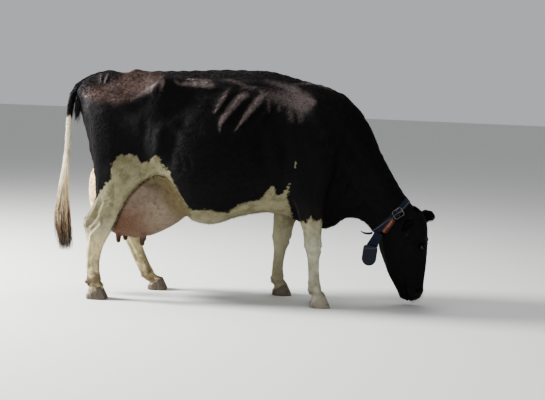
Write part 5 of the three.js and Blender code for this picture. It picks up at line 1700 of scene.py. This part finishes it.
def round_neck(ahead, clear):
    """A closed line round the neck: the hide's outline in a plane, a little clear of it. It starts
    at the throat and runs up the cow's right side."""
    out = []
    for angle in np.linspace(0, 2 * math.pi, BAND_STEPS, endpoint=False):
        way = -math.cos(angle) * COLLAR_UP - math.sin(angle) * ACROSS
        start = COLLAR_AT + ahead * COLLAR_AHEAD
        spot = hide_tree.ray_cast(Vector(start + 0.4 * way), Vector(-way))[0]
        out.append(np.dot(np.array(spot) - start, way))
    out = np.array(out)
    for _ in range(6):
        out = 0.5 * out + 0.25 * (np.roll(out, 1) + np.roll(out, -1))
    angles = np.linspace(0, 2 * math.pi, BAND_STEPS, endpoint=False)[:, None]
    ways = -np.cos(angles) * COLLAR_UP - np.sin(angles) * ACROSS
    return COLLAR_AT + ahead * COLLAR_AHEAD + (out + clear)[:, None] * ways, ways


def banded(name, profile, first, last, closed, slant=0.0):
    """A mesh swept round the neck. The profile is a closed outline of pairs: how far along the neck
    and how far off the hide. A slant brings the first end of a piece nearer to the head, or the
    crest of a closed band."""
    share = np.linspace(1, 0, last - first)[:, None]
    if closed:
        share = 0.5 - 0.5 * np.cos(np.linspace(0, 2 * math.pi, BAND_STEPS, endpoint=False))[:, None]
    rows = []
    for ahead, off in profile:
        (here, ways), (there, _) = round_neck(ahead, 0), round_neck(ahead + slant, 0)
        rows.append(((1 - share) * here[first:last] + share * there[first:last]) + off * ways[first:last])
    rows = np.stack(rows, 1)
    steps, wide = rows.shape[:2]
    ids = np.arange(steps * wide).reshape(steps, wide)
    nxt = np.roll(ids, -1, 0) if closed else ids[1:]
    cur = ids if closed else ids[:-1]
    faces = np.stack([cur, nxt, np.roll(nxt, -1, 1), np.roll(cur, -1, 1)], -1).reshape(-1, 4)
    mesh = mesh_from(name, rows.reshape(-1, 3), faces)
    along = np.repeat(np.arange(steps) * 0.0042, wide)
    side = np.tile([a for a, _ in profile], steps)
    off = np.tile([o for _, o in profile], steps)
    put_values(mesh, "strap_place", np.stack([along, side, off], 1))
    if not closed:
        shape = bmesh.new()
        shape.from_mesh(mesh)
        bmesh.ops.holes_fill(shape, edges=[e for e in shape.edges if e.is_boundary], sides=0)
        bmesh.ops.triangulate(shape, faces=[p for p in shape.faces if len(p.verts) > 4])
        shape.to_mesh(mesh)
        shape.free()
    return add_object(name, mesh)


def slab(wide, low, high, crown=0.0, count=9, at=0.0):
    """The outline of a flat band with rounded edges, and a crown or a rib on its face."""
    half = wide / 2
    top = [(at + half * u, high + crown * (1 - u * u)) for u in np.linspace(-0.94, 0.94, count)]
    edge = (low + high) / 2
    return [(at - half, edge), *top, (at + half, edge), (at + 0.94 * half, low), (at - 0.94 * half, low)]


SLEEVE_AT, SLEEVE_SLANT = 13 * MM, 24 * MM  # how far the sleeve lies towards the head, and its slant
CORD_AT, CORD_SLANT = -15 * MM, 28 * MM  # the cord crosses the band from the throat to the crest
band = banded("collar_band", slab(STRAP_WIDE, 0.8 * MM, STRAP_THICK + 0.8 * MM), 0, BAND_STEPS, True)
cord = banded("collar_cord", slab(5 * MM, STRAP_THICK, STRAP_THICK + 2.0 * MM, 1.2 * MM, 5, CORD_AT),
              0, BAND_STEPS, True, CORD_SLANT)
sleeve = banded("collar_sleeve_moulding", slab(38 * MM, STRAP_THICK + 1.2 * MM, STRAP_THICK + 4.6 * MM,
                                               3.2 * MM, 9, SLEEVE_AT), 16, 46, False, SLEEVE_SLANT)
print("band round the neck, bottom", [round(c, 3) for c in band.data.vertices[0].co])

# %% Webbing, cord and sleeve finishes
def webbing(name, dark, light):
    f = Finish(name)
    place = f.place("strap_place")
    warp = f.wave(place, 190.0, 0.4, "X")
    weft = f.wave(place, 190.0, 0.4, "Y")
    weave = f.maths("MAXIMUM", f.times(warp, 0.9), weft)
    worn = f.spanned(f.noise(f.place(), 30.0, 5.0), 0.5, 0.75)
    colour = f.blend(weave, dark, light)
    colour = f.blend(f.times(worn, 0.25), colour, (0.045, 0.042, 0.036))
    f.set(Base_Color=colour, Roughness=0.85, Normal=f.bump(weave, 0.7 * MM, 0.8), Sheen_Weight=0.03,
          Specular_IOR_Level=0.15)
    return f


navy_web = webbing("navy_webbing", (0.0040, 0.0050, 0.0105), (0.021, 0.026, 0.050))
grey_web = webbing("grey_cord", (0.040, 0.038, 0.034), (0.15, 0.145, 0.135))
f = Finish("orange_moulding")
where = f.place()
rubbed = f.spanned(f.noise(where, 55.0, 5.0), 0.40, 0.65)
along, ahead, _ = f.xyz(f.place("strap_place"))
# painted highlight: a pale orange stripe along the crest of the sleeve's lower part, broken where it is
# rubbed
crown = f.maths("ADD", f.maths("SUBTRACT", ahead, SLEEVE_AT), f.swing(f.noise(where, 40.0, 3.0), 0.016))
crown = f.times(f.spanned(crown, -0.012, -0.005), f.spanned(crown, 0.004, -0.003),
                f.spanned(along, 0.120, 0.090))
grime = f.spanned(f.noise(where, 18.0, 4.0), 0.5, 0.75)
colour = f.blend(f.times(rubbed, 0.5), (0.050, 0.008, 0.005), (0.11, 0.020, 0.010))
colour = f.blend(f.times(crown, f.spanned(rubbed, 0, 1, 0.55, 1.0)), colour, (0.42, 0.130, 0.065))
colour = f.blend(f.times(grime, 0.45), colour, (0.035, 0.012, 0.008))
f.set(Base_Color=colour, Roughness=f.spanned(rubbed, 0, 1, 0.32, 0.55),
      Normal=f.bump(f.noise(where, 400.0), 0.3 * MM, 0.4))
finished(band, navy_web, "strap_web", "collar_strap")
finished(cord, grey_web, "strap_web")
finished(sleeve, f, "sleeve", "collar_sleeve")


# %% [markdown]
# The buckle is bent from round steel rod: a frame with rounded corners, a middle bar and a tongue
# that lies through a hole in the band. Each is a tube swept along a line.

# %% A tube along a line
def tube(line, radius, sides=10, closed=False):
    """Points and faces of a round tube along a line."""
    line = np.asarray(line, float)
    ahead = unit(np.roll(line, -1, 0) - np.roll(line, 1, 0)) if closed else unit(np.gradient(line, axis=0))
    guide = np.array([0.0, 1.0, 0.0]) if abs(ahead[0][1]) < 0.9 else np.array([1.0, 0.0, 0.0])
    side = unit(np.cross(ahead, guide))
    over = np.cross(side, ahead)
    turn = np.linspace(0, 2 * math.pi, sides, endpoint=False)
    radius = np.broadcast_to(radius, len(line))[:, None, None]
    ring = side[:, None] * np.cos(turn)[None, :, None] + over[:, None] * np.sin(turn)[None, :, None]
    points = (line[:, None] + radius * ring).reshape(-1, 3)
    ids = np.arange(len(points)).reshape(len(line), sides)
    cur, nxt = (ids, np.roll(ids, -1, 0)) if closed else (ids[:-1], ids[1:])
    faces = np.stack([cur, nxt, np.roll(nxt, -1, 1), np.roll(cur, -1, 1)], -1).reshape(-1, 4)
    if not closed:
        middle = len(points)
        points = np.vstack([points, line[0], line[-1]])
        for cap, (ring, order) in enumerate(((ids[0], (2, 1, 0)), (ids[-1], (0, 1, 2)))):
            corners = [[ring[(k + step) % sides] for step in order] for k in range(0, sides, 2)]
            faces = np.vstack([faces, [(middle + cap, *three) for three in corners]])
    return points, faces


# %% The buckle
BUCKLE_LONG, BUCKLE_WIDE, ROD, TILT = 66 * MM, 56 * MM, 1.8 * MM, math.radians(-14)
low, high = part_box("collar_buckle")
buckle_at = np.array((low + high) / 2)
spot, normal, _, _ = hide_tree.find_nearest(Vector(buckle_at))
lies = unit(np.array(normal) * (1, 1, 0.6))
buckle_at = np.array(spot) + np.array(normal) * (STRAP_THICK + 4.5 * MM)
length_way = unit(COLLAR_UP - np.dot(COLLAR_UP, lies) * lies)
back_way = np.cross(lies, length_way)
back_way *= np.sign(back_way @ -COLLAR_AHEAD)
length_way = length_way * math.cos(TILT) + back_way * math.sin(TILT)
width_way = np.cross(lies, length_way)


def on_buckle(u, v, w=0.0):
    return buckle_at + u * length_way + v * width_way + w * lies


corner = 11 * MM
frame_line = []
for cu, cv, start in ((1, 1, 0), (-1, 1, 90), (-1, -1, 180), (1, -1, 270)):
    for degrees in range(start, start + 91, 15):
        a = math.radians(degrees)
        frame_line.append(on_buckle(cu * (BUCKLE_LONG / 2 - corner) + corner * math.cos(a),
                                    cv * (BUCKLE_WIDE / 2 - corner) + corner * math.sin(a)))
frame_line = np.array(frame_line)
dense = np.vstack([a + (b - a) * t for a, b in zip(frame_line, np.roll(frame_line, -1, 0))
                   for t in (0, 0.5)])
bar = [on_buckle(0, v * BUCKLE_WIDE / 2, -6 * MM * (1 - v**4))  # it dips under the band
       for v in np.linspace(-1, 1, 17)]
tongue = [on_buckle(u * BUCKLE_LONG / 2, 0, w * MM) for u, w in
          ((-0.04, 0.5), (0.0, 3.6), (0.2, 4.0), (0.5, 3.4), (0.8, 3.0), (1.05, 4.0))]
rods = [tube(dense, ROD, 12, True), tube(bar, 0.85 * ROD), tube(curve_through(tongue, 3 * MM), 0.75 * ROD)]
buckle = add_object("buckle", mesh_from("buckle", *joined(rods)))
f = Finish("dull_steel")
where = f.place()
scratches = f.noise(f.turned(where, (0, 40, 0), (60, 500, 500)), 1.0, 3.0)
tarnish = f.spanned(f.noise(where, 70.0, 5.0), 0.45, 0.7)
f.set(Base_Color=f.blend(tarnish, (0.33, 0.33, 0.34), (0.12, 0.115, 0.11)), Metallic=1.0,
      Roughness=f.spanned(scratches, 0.2, 0.8, 0.28, 0.55), Normal=f.bump(scratches, 0.2 * MM, 0.5))
finished(buckle, f, "buckle_steel", "collar_buckle")
print("buckle at", buckle_at.round(3))

# %% [markdown]
# The tag is a sealed plastic case on a short strap. Its two halves meet in a seam, and a paler lid
# line runs across under its top. The strap's loose end hangs free and curls back.

# %% Tag, tag strap and loose end
tag = refined("tag_case", ["tag"], 2.2 * MM, 6)
tag_low, tag_high = (np.array(corner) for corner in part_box("tag"))
tag_clay = Clay(tag.data)
tag_middle = (tag_low + tag_high) / 2
SEAM_UNDER_TOP = 22 * MM
x_reach = (tag_high - tag_low)[0] / 2
seam_z = float(tag_high[2] - SEAM_UNDER_TOP)
seam = [(tag_middle[0] + u * x_reach * 0.94, tag_low[1] - 0.01, seam_z + 2 * MM * (u * u))
        for u in np.linspace(-1, 1, 9)]
tag_clay.stroke(seam, 2.6, -1.6, 0.0)
tag_clay.stroke(seam, 2.6, 1.2, 0.0, shift=(0, 0, 0.006))
tag_clay.dab((tag_middle[0], tag_low[1] - 0.01, tag_middle[2] - 0.012), (24, 20, 34), -1.8)
tag_clay.press()
f = Finish("tag_case")
where = f.place()
near_seam = f.maths("ABSOLUTE", f.maths("SUBTRACT", f.xyz(where)[2], seam_z + 3 * MM))
pale_line = f.spanned(near_seam, 2.4 * MM, 1.4 * MM)
scuffs = f.spanned(f.noise(where, 60.0, 6.0), 0.5, 0.75)
colour = f.blend(f.times(scuffs, 0.5), (0.0052, 0.0062, 0.0195), (0.017, 0.019, 0.034))
colour = f.blend(f.times(pale_line, 0.8), colour, (0.085, 0.088, 0.100))
f.set(Base_Color=colour, Roughness=f.spanned(scuffs, 0, 1, 0.42, 0.62), Specular_IOR_Level=0.3,
      Normal=f.bump(f.noise(where, 600.0), 0.25 * MM, 0.5))
finished(tag, f, "tag_plastic", "tag")
for name, node, voxel, broader in (("tag_hanger", "tag_strap", 1.6, 1.2),
                                   ("loose_end", "strap_loose_end", 1.2, 1)):
    strap = refined(name, [node], voxel * MM, 3)
    points = points_of(strap.data)
    upright = points[:, (0, 2)] - points[:, (0, 2)].mean(0)
    narrow_way = np.linalg.eigh(upright.T @ upright)[1][:, 0]  # across the strap, seen from its side
    points[:, (0, 2)] += (broader - 1) * (upright @ narrow_way)[:, None] * narrow_way
    put_points(strap.data, points)
    put_values(strap.data, "strap_place", points[:, (2, 0, 1)])
    finished(strap, navy_web, "strap_web", node)
print("tag from", tag_low.round(3), "to", tag_high.round(3))
